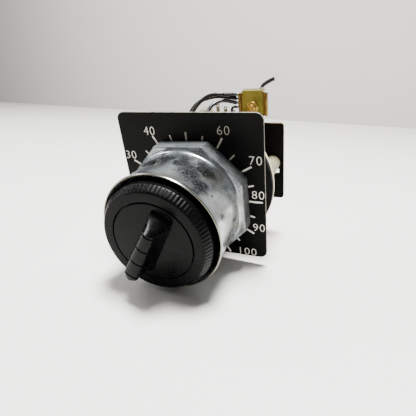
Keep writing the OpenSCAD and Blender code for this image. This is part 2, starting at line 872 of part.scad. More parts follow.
// A bowed leaf from the arm's root over the holder, pressing on the brush's back
module brush_spring() {
    foot_x = ring_r + 0.4;
    foot_end = foot_x + 1.6;
    top_y = holder_y - 0.3;
    color("#c98f4e") facing(rest_angle) translate([0, 0, -leaf_w / 2]) linear_extrude(leaf_w) polygon([
        [foot_x, arm_y], [foot_end, arm_y], [foot_end - 0.2, arm_y - 0.6], [foot_end, top_y],
        [brush_at_r - 0.6, top_y], [brush_at_r, brush_front], [brush_at_r + 0.6, brush_front],
        [brush_at_r, top_y - leaf_t], [foot_end - leaf_t, top_y - leaf_t], [foot_x + 0.6, arm_y - leaf_t],
        [foot_x, arm_y - leaf_t]]);
}

dial_plate();
scale_marks();
ring_nut();
panel_gasket();
carrier_disc();
barrel();
front_bush();
rear_bush();
shaft_seal();
stop_pin();
standoff_posts();
post_screws_front();
post_screws_rear();
back_plate();
rear_bearing();
core_spool();
spool_screws();
toroid_core();
core_wrap();
winding();
end_leads();
rear_insulator();
collector_finger();
collector_rivets();
terminal_bracket();
bracket_rivets();
wire_saddle();
terminal_screw();
terminal_nut();
tag_board();
solder_tags();
tag_rivets();
lead_line();
lead_return();
lead_wiper();
tap_jumper();
lead_stub();
knob_body();
knob_lever();
knob_screw();
spindle();
thrust_washer();
spindle_clip();
stop_collar();
stop_collar_screw();
brush_hub();
slip_ring();
brush_arm();
brush_holder();
carbon_brush();
brush_spring();
rear_clip();
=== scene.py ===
"""Looks of a panel-mounted rotary variable autotransformer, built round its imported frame.

The spindle lies along Y, the knob faces -Y and Z is up. Sizes in the classes are millimetres, and a mesh is
turned to metres when its piece is finished. Places come from the frame's own nodes.
"""

import logging
import math
from dataclasses import dataclass
from enum import Enum
from typing import Any, Callable, Iterable, Sequence

import bmesh
import bpy
from mathutils import Matrix, Vector


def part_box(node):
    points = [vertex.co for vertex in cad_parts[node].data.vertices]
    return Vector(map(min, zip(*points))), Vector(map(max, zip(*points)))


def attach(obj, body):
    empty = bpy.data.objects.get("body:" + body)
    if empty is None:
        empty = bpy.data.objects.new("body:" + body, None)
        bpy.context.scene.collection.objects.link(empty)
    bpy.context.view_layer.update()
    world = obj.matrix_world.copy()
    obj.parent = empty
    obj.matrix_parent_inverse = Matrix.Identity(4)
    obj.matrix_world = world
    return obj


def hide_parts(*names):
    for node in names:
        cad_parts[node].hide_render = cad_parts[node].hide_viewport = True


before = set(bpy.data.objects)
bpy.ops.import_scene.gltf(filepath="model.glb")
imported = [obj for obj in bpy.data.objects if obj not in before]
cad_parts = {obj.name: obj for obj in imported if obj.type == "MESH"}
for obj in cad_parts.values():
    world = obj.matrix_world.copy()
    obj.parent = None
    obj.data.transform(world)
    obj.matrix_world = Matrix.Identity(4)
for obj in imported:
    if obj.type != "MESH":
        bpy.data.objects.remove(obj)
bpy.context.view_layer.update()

log = logging.getLogger("autotransformer")

MM = 0.001
FULL_TURN = 2 * math.pi
SPINDLE = Vector((0, 1, 0))
# How far light travels inside the milky nylon, in millimetres.
LIGHT_REACH = 1.2

Colour = tuple[float, float, float, float]
Profile = Sequence[tuple[float, float]]
Point = tuple[float, float, float]
Paint = tuple[list[tuple[Any, str]], Any, Any]


class Body(Enum):
    """The two bodies of the frame."""

    OPERATOR = "operator"
    ROTOR = "rotor"


class Slot(Enum):
    """The record's material slots."""

    BLACK_PAINT = "black_paint"
    WHITE_PRINT = "white_print"
    WORN_CHROME = "worn_chrome"
    BLACK_PLASTIC = "black_plastic"
    RUBBER = "rubber"
    CREAM_LAMINATE = "cream_laminate"
    NYLON = "nylon"
    PLATED_STEEL = "plated_steel"
    ZINC_CASTING = "zinc_casting"
    BRONZE = "bronze"
    BRASS = "brass"
    YELLOW_ZINC = "yellow_zinc"
    CORE_STEEL = "core_steel"
    COPPER_WIRE = "copper_wire"
    FIBRE_PAPER = "fibre_paper"
    PHENOLIC = "phenolic"
    WIRE_INSULATION = "wire_insulation"
    CARBON = "carbon"


# ---- small tools ----


def linear(code: str) -> Colour:
    """Turn an sRGB hex colour to linear.

    Args:
        code: Six hex digits after a hash sign.

    Returns:
        Red, green, blue and a full alpha.
    """
    shares = [int(code[i : i + 2], 16) / 255 for i in (1, 3, 5)]
    return tuple(c / 12.92 if c <= 0.04045 else ((c + 0.055) / 1.055) ** 2.4 for c in shares) + (1.0,)


def add(tree: bpy.types.NodeTree, kind: str, inputs: dict[Any, Any] | None = None, **settings: Any) -> Any:
    """Add a node with its settings, values and links.

    Args:
        tree: The tree that takes the node.
        kind: The node's type.
        inputs: Socket name or index to a value, a hex colour or the output socket that feeds it.
        settings: The node's own properties.

    Returns:
        The node.
    """
    made = tree.nodes.new(kind)
    for name, value in settings.items():
        setattr(made, name, value)
    for name, value in (inputs or {}).items():
        if isinstance(value, bpy.types.NodeSocket):
            tree.links.new(value, made.inputs[name])
        else:
            made.inputs[name].default_value = linear(value) if isinstance(value, str) else value
    return made


def show(thing: bpy.types.Object) -> bpy.types.Object:
    """Put an object in the scene and give it back."""
    bpy.context.scene.collection.objects.link(thing)
    return thing


def only(kind: type, geom: Iterable[Any]) -> list[Any]:
    """Give what is of one kind in an operator's result."""
    return [g for g in geom if isinstance(g, kind)]


def polar(radius: float, angle: float) -> tuple[float, float]:
    """Give X and Z of a point at a polar angle in degrees."""
    return radius * math.cos(math.radians(angle)), radius * math.sin(math.radians(angle))


def span(node: str) -> tuple[Vector, Vector]:
    """Give a CAD node's lowest and highest corner in millimetres."""
    low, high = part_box(node)
    return low / MM, high / MM


def smooth_route(points: Sequence[Point], steps: int = 8) -> list[Vector]:
    """Run a smooth curve through listed points.

    Args:
        points: The points of the route.
        steps: How many pieces each stretch between two points is cut into.

    Returns:
        The points of the curve, the first and last point of the route included.
    """
    route = [Vector(p) for p in points]
    last = len(route) - 1
    curve = []
    for i in range(last):
        a, b, c, d = route[max(i - 1, 0)], route[i], route[i + 1], route[min(i + 2, last)]
        for k in range(steps):
            t = k / steps
            cubic = (3 * b - a - 3 * c + d) * t**3
            curve.append(0.5 * (2 * b + (c - a) * t + (2 * a - 5 * b + 4 * c - d) * t**2 + cubic))
    return curve + [route[last]]


# ---- finishes ----


def patches(tree: bpy.types.NodeTree, where: Any, size: float, low: float, high: float) -> Any:
    """Make a soft-edged mask of cloudy patches.

    Args:
        tree: The material's tree.
        where: The coordinates.
        size: Width of a patch in millimetres.
        low: Noise level where a patch begins.
        high: Noise level where it is full.

    Returns:
        The mask's output socket.
    """
    cloud = add(tree, "ShaderNodeTexNoise", {"Vector": where, "Scale": 1 / (size * MM), "Detail": 6.0})
    edge = {"Value": cloud.outputs["Fac"], "From Min": low, "From Max": high}
    return add(tree, "ShaderNodeMapRange", edge).outputs["Result"]


@dataclass(frozen=True)
class Finish:
    """A surface: what it is made of, its colours as sRGB hex and its pattern sizes in millimetres."""

    name: str
    slot: Slot
    base: str
    shade: str
    metallic: float = 0.0
    rough: tuple[float, float] = (0.4, 0.6)
    patch: float = 4.0
    grain: float = 0.4
    relief: float = 0.02
    stretch: Point = (1.0, 1.0, 1.0)
    ior: float = 1.5
    gloss_level: float = 0.5
    body_light: float = 0.0

    def dress(self) -> bpy.types.Material:
        """Build the material once, and return it from then on."""
        known = bpy.data.materials.get(self.name)
        if known:
            return known
        material = bpy.data.materials.new(self.name)
        material.use_nodes = True
        material["slot"] = self.slot.value
        tree = material.node_tree
        tree.nodes.clear()
        where = add(tree, "ShaderNodeTexCoord").outputs["Object"]
        layers, dull, height = self.paint(tree, where)
        colour: Any = self.base
        for mask, tone in layers:
            colour = add(tree, "ShaderNodeMix", {0: mask, 6: colour, 7: tone}, data_type="RGBA").outputs[2]
        spread = {"Value": dull, "To Min": self.rough[0], "To Max": self.rough[1]}
        relief = {"Height": height, "Distance": self.relief * MM, "Strength": 1.0}
        inputs = {
            "Base Color": colour,
            "Metallic": self.metal(tree, where),
            "Roughness": add(tree, "ShaderNodeMapRange", spread, clamp=False).outputs["Result"],
            "Normal": add(tree, "ShaderNodeBump", relief).outputs["Normal"],
        }
        if not self.metallic:
            inputs |= {"IOR": self.ior, "Specular IOR Level": self.gloss_level}
        if self.body_light:
            inputs |= {"Subsurface Weight": self.body_light, "Subsurface Scale": LIGHT_REACH * MM}
            inputs |= {"Subsurface Radius": (1.0, 0.9, 0.7)}
        surface = add(tree, "ShaderNodeBsdfPrincipled", inputs)
        add(tree, "ShaderNodeOutputMaterial", {"Surface": surface.outputs["BSDF"]})
        return material

    def metal(self, tree: bpy.types.NodeTree, where: Any) -> Any:
        """Give the share of metal, as a value or a socket."""
        return self.metallic

    def paint(self, tree: bpy.types.NodeTree, where: Any) -> Paint:
        """Give cloudy shade, uneven gloss and a fine grain along the way that the surface was worked.

        Args:
            tree: The material's tree.
            where: The coordinates.

        Returns:
            The layers over the base colour, each a mask and a tone, then the dullness and the height.
        """
        laid = add(tree, "ShaderNodeMapping", {"Vector": where, "Scale": self.stretch}).outputs["Vector"]
        shaded = patches(tree, laid, self.patch, 0.38, 0.66)
        dull = patches(tree, laid, self.patch * 0.6, 0.3, 0.7)
        return [(shaded, self.shade)], dull, patches(tree, laid, self.grain, 0.2, 0.8)


@dataclass(frozen=True)
class Stain:
    """A dark blotch on a round surface, at a polar angle in degrees and a station along the spindle."""

    angle: float
    station: float
    reach: float

    def centre(self, radius: float) -> Point:
        """Give the blotch's middle in metres, on a surface of a radius in millimetres."""
        x, z = polar(radius, self.angle)
        return x * MM, self.station * MM, z * MM


@dataclass(frozen=True)
class WornChrome(Finish):
    """Chrome plate on a casting that has hazed, pitted and gone dark in blotches."""

    haze: str = "#7b8185"
    tarnish: str = "#16191c"
    yellowed: str = "#77725a"
    # The flange's tone is partly grime and partly a painted dark reflection of the room.
    flange_tone: str = "#50565b"
    flat_tone: str = "#484a49"
    rim_tone: str = "#7d7762"
    radius: float = 22.4
    flange: tuple[float, float] = (-9.6, -7.2)
    flats: tuple[float, float] = (-8.5, -7.9)
    lip: tuple[float, float] = (-28.6, -27.0)
    rim: tuple[float, float] = (-30.55, -30.85)
    ragged: float = 3.2
    push: float = 7.0
    haze_metal: float = 0.86
    flat_metal: float = 0.35
    flat_dullness: float = 1.11
    stains: tuple[Stain, ...] = ()

    def past(self, tree: bpy.types.NodeTree, where: Any, zone: tuple[float, float]) -> Any:
        """Mask what lies past a zone along the spindle, where the mask goes from none to full."""
        station = add(tree, "ShaderNodeSeparateXYZ", {"Vector": where}).outputs["Y"]
        edge = {"Value": station, "From Min": zone[0] * MM, "From Max": zone[1] * MM}
        return add(tree, "ShaderNodeMapRange", edge).outputs["Result"]

    def hazed(self, tree: bpy.types.NodeTree, where: Any) -> Any:
        """Mask the dry haze."""
        return patches(tree, where, 7.0, 0.3, 0.66)

    def blotches(self, tree: bpy.types.NodeTree, where: Any) -> Any:
        """Gather the placed stains into one mask with ragged edges."""
        noise = {"Vector": where, "Scale": 1 / (self.ragged * MM), "Detail": 5.0, "Roughness": 0.7}
        moved = add(tree, "ShaderNodeTexNoise", noise).outputs["Color"]
        steps = ("SUBTRACT", (0.5, 0.5, 0.5)), ("MULTIPLY", (self.push * MM,) * 3), ("ADD", where)
        for operation, other in steps:
            moved = add(tree, "ShaderNodeVectorMath", {0: moved, 1: other}, operation=operation).outputs[0]
        total: Any = 0.0
        for stain in self.stains:
            ends = {0: moved, 1: stain.centre(self.radius)}
            far = add(tree, "ShaderNodeVectorMath", ends, operation="DISTANCE").outputs["Value"]
            limits = {"Value": far, "From Min": stain.reach * MM, "From Max": 0.35 * stain.reach * MM}
            mask = add(tree, "ShaderNodeMapRange", limits, interpolation_type="SMOOTHSTEP").outputs["Result"]
            total = add(tree, "ShaderNodeMath", {0: total, 1: mask}, operation="MAXIMUM").outputs[0]
        return total

    def metal(self, tree: bpy.types.NodeTree, where: Any) -> Any:
        """Let the dry haze show less metal than the clean plate, and the grimy flats less still."""
        share: Any = 1.0
        hazed, flats = self.hazed(tree, where), self.past(tree, where, self.flats)
        for mask, least in ((hazed, self.haze_metal), (flats, self.flat_metal)):
            left = add(tree, "ShaderNodeMapRange", {"Value": mask, "To Min": 1.0, "To Max": least})
            factors = {0: share, 1: left.outputs["Result"]}
            share = add(tree, "ShaderNodeMath", factors, operation="MULTIPLY").outputs[0]
        return share

    def paint(self, tree: bpy.types.NodeTree, where: Any) -> Paint:
        """Give bright plate under haze, yellowing, tarnish and pits, and a dull flange darkened partly by
        grime and partly by a painted dark reflection.
        """
        hazed, speckle = self.hazed(tree, where), patches(tree, where, 0.8, 0.42, 0.56)
        flange, flats = self.past(tree, where, self.flange), self.past(tree, where, self.flats)
        oily = patches(tree, where, 5.5, 0.32, 0.6)
        dark = add(tree, "ShaderNodeMath", {0: oily, 1: flange}, operation="MULTIPLY").outputs[0]
        broken = add(tree, "ShaderNodeMapRange", {"Value": speckle, "To Min": 0.5}).outputs["Result"]
        for operation, mask in (("MAXIMUM", self.blotches(tree, where)), ("MULTIPLY", broken)):
            dark = add(tree, "ShaderNodeMath", {0: dark, 1: mask}, operation=operation).outputs[0]
        layers = [(hazed, self.haze)]
        # The flange layer is partly grime and partly a painted dark reflection.
        for mask, share, tone in (
            (patches(tree, where, 9.0, 0.5, 0.72), 0.75, self.yellowed), (flange, 0.7, self.flange_tone),
            (flats, 0.8, self.flat_tone), (self.past(tree, where, self.rim), 0.8, self.rim_tone),
        ):
            thin = add(tree, "ShaderNodeMath", {0: mask, 1: share}, operation="MULTIPLY").outputs[0]
            layers.append((thin, tone))
        rim = layers[-1][0]
        below = self.past(tree, where, self.lip)
        dull = hazed
        steps = ("MAXIMUM", dark), ("MAXIMUM", flange), ("MULTIPLY", below), ("MAXIMUM", rim)
        for operation, mask in steps:
            dull = add(tree, "ShaderNodeMath", {0: dull, 1: mask}, operation=operation).outputs[0]
        coarse = {0: flats, 1: self.flat_dullness, 2: dull}
        dull = add(tree, "ShaderNodeMath", coarse, operation="MULTIPLY_ADD").outputs[0]
        pits = add(tree, "ShaderNodeMath", {0: speckle, 1: dark}, operation="MULTIPLY").outputs[0]
        return layers + [(dark, self.tarnish)], dull, pits


@dataclass(frozen=True)
class ZincChromate(Finish):
    """Yellow passivated zinc: a thin rainbow film that runs from straw to green and brown."""

    green: str = "#7f8440"
    brown: str = "#85643a"

    def paint(self, tree: bpy.types.NodeTree, where: Any) -> Paint:
        """Give drifting film colours over drawn metal."""
        laid = add(tree, "ShaderNodeMapping", {"Vector": where, "Scale": self.stretch}).outputs["Vector"]
        layers = [
            (patches(tree, where, 5.0, 0.35, 0.65), self.shade),
            (patches(tree, laid, 3.0, 0.5, 0.72), self.green),
            (patches(tree, laid, 1.6, 0.6, 0.78), self.brown),
        ]
        return layers, patches(tree, laid, 1.2, 0.3, 0.7), patches(tree, laid, self.grain, 0.2, 0.8)


@dataclass(frozen=True)
class DustyBlack(Finish):
    """A black surface with pale dust caught on it, fine scuffs and paler worn edges."""

    dust: str = "#8f8c84"
    dust_share: float = 0.5
    worn: str = "#161614"
    edge: float = 0.0

    def edges(self, tree: bpy.types.NodeTree) -> Any:
        """Mask the rubbed edges, where a rounded normal parts from the true one."""
        eased = add(tree, "ShaderNodeBevel", {"Radius": self.edge * MM}, samples=4).outputs["Normal"]
        true = add(tree, "ShaderNodeNewGeometry").outputs["Normal"]
        facing = add(tree, "ShaderNodeVectorMath", {0: eased, 1: true}, operation="DOT_PRODUCT")
        limits = {"Value": facing.outputs["Value"], "From Min": 0.995, "From Max": 0.9}
        return add(tree, "ShaderNodeMapRange", limits).outputs["Result"]

    def paint(self, tree: bpy.types.NodeTree, where: Any) -> Paint:
        """Give moulded or painted black, dusted in specks and rubbed at its edges."""
        dusted = patches(tree, where, 0.45, 0.68, 0.78)
        for share in (patches(tree, where, 6.0, 0.4, 0.7), self.dust_share):
            dusted = add(tree, "ShaderNodeMath", {0: dusted, 1: share}, operation="MULTIPLY").outputs[0]
        layers = [(patches(tree, where, self.patch, 0.35, 0.65), self.shade), (dusted, self.dust)]
        if self.edge:
            layers.append((self.edges(tree), self.worn))
        dull = patches(tree, where, self.patch * 0.5, 0.3, 0.7)
        return layers, dull, patches(tree, where, self.grain, 0.2, 0.8)


@dataclass(frozen=True)
class GrimyInk(Finish):
    """White printing ink, greyed towards the dial's upper right as painted shade."""

    # Tone of the painted shade, then where it is deepest and how far it reaches, in millimetres.
    grime: str = "#77746a"
    middle: Point = (9.0, -1.2, 25.0)
    reach: float = 25.0

    def paint(self, tree: bpy.types.NodeTree, where: Any) -> Paint:
        """Give ink that greys towards the dial's upper right, as painted shade."""
        # Painted shade: the ink greys as it nears a point at the dial's upper right.
        ends = {0: where, 1: tuple(v * MM for v in self.middle)}
        far = add(tree, "ShaderNodeVectorMath", ends, operation="DISTANCE").outputs["Value"]
        limits = {"Value": far, "From Min": self.reach * MM, "From Max": 0.5 * self.reach * MM}
        painted_shade_mask = add(tree, "ShaderNodeMapRange", limits).outputs["Result"]
        grain = patches(tree, where, self.grain, 0.2, 0.8)
        return [(patches(tree, where, self.patch, 0.4, 0.7), self.shade), (painted_shade_mask, self.grime)], grain, grain


@dataclass(frozen=True)
class EnamelledCopper(Finish):
    """Enamelled winding wire, bare and polished on the face where the brush runs."""

    bare: str = "#d98f5c"
    track_radius: float = 15.6
    track_half: float = 1.7
    face: float = 27.9

    def paint(self, tree: bpy.types.NodeTree, where: Any) -> Paint:
        """Give enamel with the brush track bared, told by its radius and station."""
        split = add(tree, "ShaderNodeSeparateXYZ", {"Vector": where})
        flat = add(tree, "ShaderNodeCombineXYZ", {"X": split.outputs["X"], "Y": split.outputs["Z"]})
        radius = add(tree, "ShaderNodeVectorMath", {0: flat.outputs[0]}, operation="LENGTH").outputs["Value"]
        near: Any = radius
        steps = ("SUBTRACT", self.track_radius), ("ABSOLUTE", 0.0), ("LESS_THAN", self.track_half)
        for operation, value in steps:
            near = add(tree, "ShaderNodeMath", {0: near, 1: value * MM}, operation=operation).outputs[0]
        ahead = {0: split.outputs["Y"], 1: self.face * MM}
        front = add(tree, "ShaderNodeMath", ahead, operation="LESS_THAN").outputs[0]
        track = add(tree, "ShaderNodeMath", {0: near, 1: front}, operation="MULTIPLY").outputs[0]
        layers = [(patches(tree, where, self.patch, 0.35, 0.65), self.shade), (track, self.bare)]
        return layers, patches(tree, where, 2.0, 0.3, 0.7), patches(tree, where, self.grain, 0.2, 0.8)


# Satin stove enamel on sheet metal: deep black, with dust and small scuffs.
BLACK_ENAMEL = DustyBlack(
    "black_stove_enamel", Slot.BLACK_PAINT, "#040404", "#070706", rough=(0.34, 0.46), patch=14.0,
    grain=0.35, relief=0.004, dust_share=0.05, edge=0.15, gloss_level=0.05,
)
# Bare sheet edge where the enamel has rubbed through: pale, dry aluminium with grime.
BARE_EDGE = Finish(
    "rubbed_sheet_edge", Slot.BLACK_PAINT, "#7b7564", "#3b382f", rough=(0.45, 0.7), patch=1.6,
    grain=0.25, relief=0.01,
)
# Screen-printed ink: warm white and thin in places, with painted shade greying it towards the dial's upper
# right.
WHITE_INK = GrimyInk(
    "screen_printed_ink", Slot.WHITE_PRINT, "#f4f1e6", "#d0cdc2", rough=(0.5, 0.7), patch=3.0,
    grain=0.3, relief=0.004,
)
# Decorative chrome over a zinc casting: hazed and blotched with age.
CHROME = WornChrome(
    "aged_chrome_plate", Slot.WORN_CHROME, "#b4b8bb", "#9a9fa3", metallic=1.0, rough=(0.07, 0.34),
    relief=0.02,
    stains=(
        Stain(64.5, -22.4, 6.2), Stain(49.0, -24.4, 4.6), Stain(55.5, -15.4, 5.4), Stain(94.2, -16.0, 5.0),
        Stain(112.0, -16.5, 5.4), Stain(76.0, -17.5, 4.4), Stain(205.0, -19.0, 6.0), Stain(318.0, -15.0, 4.6),
        Stain(262.0, -22.0, 5.2), Stain(35.1, -23.1, 0.9), Stain(16.0, -24.9, 2.4), Stain(130.0, -22.5, 3.6),
    ),
)
# Compression-moulded black plastic: matte, with paler rubbed edges.
BLACK_MOULDING = DustyBlack(
    "matte_black_moulding", Slot.BLACK_PLASTIC, "#030303", "#060606", rough=(0.22, 0.34), patch=5.0,
    grain=0.5, relief=0.003, dust_share=0.04, gloss_level=0.058,
)
# The same plastic where fingers have polished the lever's heel: smooth, and a little darker in colour and
# gloss as painted shade that keeps the heel dark.
SMOOTH_SHADED_MOULDING = DustyBlack(
    "polished_moulding_painted_dark", Slot.BLACK_PLASTIC, "#020202", "#040404", rough=(0.1, 0.17),
    patch=3.0, grain=0.6, relief=0.003, dust_share=0.08, gloss_level=0.05,
)
# Black neoprene sheet: dull, with a faint bloom.
NEOPRENE = Finish(
    "black_neoprene", Slot.RUBBER, "#0b0b0c", "#151516", rough=(0.6, 0.8), patch=3.0, grain=0.35,
    relief=0.03, ior=1.52, gloss_level=0.1,
)
# Natural paper laminate: cream, with fibres along the sheet.
LAMINATE = Finish(
    "natural_paper_laminate", Slot.CREAM_LAMINATE, "#d9cfae", "#b3a47a", rough=(0.4, 0.6), patch=2.2,
    grain=0.25, relief=0.012, stretch=(1.0, 3.0, 1.0), ior=1.55,
)
# Turned natural nylon: milky off-white that lets light in.
NYLON = Finish(
    "turned_natural_nylon", Slot.NYLON, "#8b846c", "#746d56", rough=(0.35, 0.5), patch=3.0, grain=0.4,
    relief=0.01, stretch=(0.3, 2.0, 0.3), ior=1.53, body_light=0.25,
)
# Bright zinc-plated steel: grey with a faint blue, slightly dulled.
ZINC_PLATE = Finish(
    "bright_zinc_plate", Slot.PLATED_STEEL, "#b9bcc0", "#85888c", metallic=1.0, rough=(0.25, 0.45),
    patch=1.5, grain=0.2, relief=0.01,
)
# Ground spindle steel: fine rings from the grinder.
GROUND_STEEL = Finish(
    "ground_spindle_steel", Slot.PLATED_STEEL, "#c4c6c8", "#8e9092", metallic=1.0, rough=(0.18, 0.32),
    patch=2.0, grain=0.3, relief=0.006, stretch=(0.05, 1.0, 0.05),
)
# Die-cast zinc, machined threads: soft grey with cloudy oxide.
DIE_CAST = Finish(
    "die_cast_zinc", Slot.ZINC_CASTING, "#a5a6a4", "#70716f", metallic=1.0, rough=(0.35, 0.6),
    patch=2.5, grain=0.3, relief=0.02,
)
# Phosphor bronze strip: brown-gold, darkened by handling.
BRONZE = Finish(
    "phosphor_bronze_strip", Slot.BRONZE, "#9c8048", "#5e4526", metallic=1.0, rough=(0.28, 0.5),
    patch=2.0, grain=0.25, relief=0.01, stretch=(1.0, 1.0, 0.3),
)
# Turned brass: yellow, with a little tarnish.
BRASS = Finish(
    "turned_brass", Slot.BRASS, "#c9a85a", "#8b6d34", metallic=1.0, rough=(0.22, 0.45), patch=1.5,
    grain=0.2, relief=0.008,
)
# Yellow chromate passivation over zinc: straw and green film over drawn strip.
CHROMATE = ZincChromate(
    "yellow_chromate_zinc", Slot.YELLOW_ZINC, "#a0954c", "#7b7132", metallic=1.0, rough=(0.26, 0.46),
    grain=0.25, relief=0.01, stretch=(1.0, 1.0, 0.25),
)
# Wound strip steel of the core: grey edges in rings.
CORE_STEEL = Finish(
    "wound_core_steel", Slot.CORE_STEEL, "#6f7275", "#45474a", metallic=1.0, rough=(0.35, 0.55),
    patch=1.2, grain=0.3, relief=0.02,
)
# Enamelled copper: amber-brown lacquer, polished bare where the brush runs.
MAGNET_WIRE = EnamelledCopper(
    "enamelled_copper_wire", Slot.COPPER_WIRE, "#8a3f1c", "#6d2f15", metallic=1.0, rough=(0.22, 0.36),
    patch=2.0, grain=0.3, relief=0.005,
)
# Cotton-paper insulation, varnished: tan with darker soaked patches.
FIBRE = Finish(
    "varnished_fibre_paper", Slot.FIBRE_PAPER, "#c29c58", "#8f6d38", rough=(0.55, 0.75), patch=2.5,
    grain=0.2, relief=0.02, ior=1.5,
)
# Brown phenolic board: resin-brown with paper layers.
PHENOLIC = Finish(
    "brown_phenolic_board", Slot.PHENOLIC, "#5e3a1e", "#3d2412", rough=(0.35, 0.55), patch=2.5,
    grain=0.25, relief=0.01, stretch=(1.0, 3.0, 1.0), ior=1.6,
)
# Sawn edge of black-faced laminate: light brown paper core.
SAWN_EDGE = Finish(
    "sawn_laminate_edge", Slot.PHENOLIC, "#8f7550", "#57452c", rough=(0.55, 0.75), patch=1.2,
    grain=0.2, relief=0.02, ior=1.55,
)
# Extruded vinyl insulation: glossy black with faint draw lines and grey scuffs.
VINYL = DustyBlack(
    "extruded_black_vinyl", Slot.WIRE_INSULATION, "#0b0b0c", "#1a1a1b", rough=(0.18, 0.3), patch=2.0,
    grain=0.6, relief=0.02, dust_share=0.3, gloss_level=0.4,
)
# Tinned strands and solder: bright, lumpy grey-white metal.
TINNED = Finish(
    "tinned_solder", Slot.PLATED_STEEL, "#a9a69d", "#77736a", metallic=1.0, rough=(0.2, 0.4),
    patch=0.8, grain=0.3, relief=0.03,
)
# Pressed carbon: near-black grey, dry with a slight sheen.
CARBON = Finish(
    "pressed_carbon", Slot.CARBON, "#2b2c2f", "#3f4043", rough=(0.4, 0.55), patch=0.8, grain=0.15,
    relief=0.02, ior=1.7,
)


# ---- shaping ----


class Shape:
    """A mesh in millimetres that grows by operators into one finished piece."""

    def __init__(self) -> None:
        """Start empty."""
        self.mesh = bmesh.new()

    def turn(
        self,
        profile: Profile,
        steps: int = 96,
        closed: bool = True,
        start: float = 0.0,
        at: tuple[float, float] = (0, 0),
    ) -> list[bmesh.types.BMVert]:
        """Turn a profile round the spindle's direction.

        Args:
            profile: The profile's corners, as radius and station.
            steps: How many facets the turn has.
            closed: Whether the profile's last corner joins its first.
            start: Polar angle of the first facet's edge in degrees.
            at: X and Z of the turning axis.

        Returns:
            The new vertices.
        """
        known = set(self.mesh.verts)
        ends = [self.mesh.verts.new(Vector((*polar(r, start), y)).xzy) for r, y in profile]
        pairs = list(zip(ends, ends[1:] + ends[:1])) if closed else list(zip(ends, ends[1:]))
        edges = [self.mesh.edges.new(pair) for pair in pairs]
        bmesh.ops.spin(
            self.mesh, geom=ends + edges, cent=(0, 0, 0), axis=SPINDLE, dvec=(0, 0, 0), angle=FULL_TURN,
            steps=steps, use_merge=True, use_duplicate=False,
        )
        made = [v for v in self.mesh.verts if v not in known]
        bmesh.ops.remove_doubles(self.mesh, verts=made, dist=1e-5)
        made = [v for v in self.mesh.verts if v not in known]
        bmesh.ops.translate(self.mesh, verts=made, vec=(at[0], 0, at[1]))
        return made

    def move(self, verts: Iterable[bmesh.types.BMVert], rule: Callable[[Vector], Vector]) -> None:
        """Move vertices by a rule that gives each its new place."""
        for v in verts:
            v.co = rule(v.co)

    def copy_node(self, node: str) -> None:
        """Take in a CAD node's mesh, merged and with its flat areas made whole."""
        self.mesh.from_mesh(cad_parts[node].data)
        bmesh.ops.scale(self.mesh, verts=self.mesh.verts, vec=(1 / MM,) * 3)
        bmesh.ops.remove_doubles(self.mesh, verts=self.mesh.verts, dist=1e-3)
        bmesh.ops.dissolve_limit(
            self.mesh, verts=self.mesh.verts, edges=self.mesh.edges, angle_limit=math.radians(0.5)
        )

    def ease(self, width: float, least: float = 30.0, segments: int = 2) -> None:
        """Round every edge that is sharper than an angle in degrees."""
        sharp = [
            e for e in self.mesh.edges
            if len(e.link_faces) == 2
            and e.calc_face_angle(0.0) > math.radians(least)
            and e.calc_length() > width / 4
        ]
        bmesh.ops.bevel(
            self.mesh, geom=sharp, offset=width, offset_type="OFFSET", affect="EDGES", segments=segments,
            profile=0.5, clamp_overlap=True, material=-1,
        )

    def finish(
        self,
        name: str,
        finishes: Sequence[Finish],
        nodes: Sequence[str] = (),
        body: Body = Body.OPERATOR,
        crease: float = 38.0,
        recalculate: bool = True,
    ) -> bpy.types.Object:
        """Turn the shape to metres and hand it in as a piece.

        Args:
            name: The piece's name.
            finishes: Its finishes, in the order of the faces' material numbers.
            nodes: The CAD nodes it stands for.
            body: The body it rides on.
            crease: Angle in degrees over which an edge stays sharp.
            recalculate: Whether its faces are turned outwards here.

        Returns:
            The piece.
        """
        if recalculate:
            bmesh.ops.recalc_face_normals(self.mesh, faces=self.mesh.faces)
        bmesh.ops.scale(self.mesh, verts=self.mesh.verts, vec=(MM,) * 3)
        data = bpy.data.meshes.new(name)
        self.mesh.to_mesh(data)
        self.mesh.free()
        data.shade_smooth()
        data.set_sharp_from_angle(angle=math.radians(crease))
        made = bpy.data.objects.new(name, data)
        made.modifiers.new("flat_faces_stay_flat", "WEIGHTED_NORMAL").keep_sharp = True
        return hand_in(made, finishes, nodes, body)


def hand_in(
    piece: bpy.types.Object, finishes: Sequence[Finish], nodes: Sequence[str], body: Body = Body.OPERATOR
) -> bpy.types.Object:
    """Dress a piece, put it on its body and let it stand for its CAD nodes.

    Args:
        piece: The finished object, at the origin.
        finishes: Its finishes.
        nodes: The CAD nodes it stands for.
        body: The body it rides on.

    Returns:
        The piece.
    """
    show(piece)
    for finish in finishes:
        piece.data.materials.append(finish.dress())
    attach(piece, body.value)
    if nodes:
        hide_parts(*nodes)
    log.info("%s: %s on %s", piece.name, finishes[0].name, body.value)
    return piece


def dress_node(node: str, finish: Finish) -> None:
    """Give a CAD node that stays its material."""
    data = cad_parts[node].data
    data.materials.clear()
    data.materials.append(finish.dress())
    log.info("%s: %s, as drawn", node, finish.name)


# ---- the camera, the light and the table ----


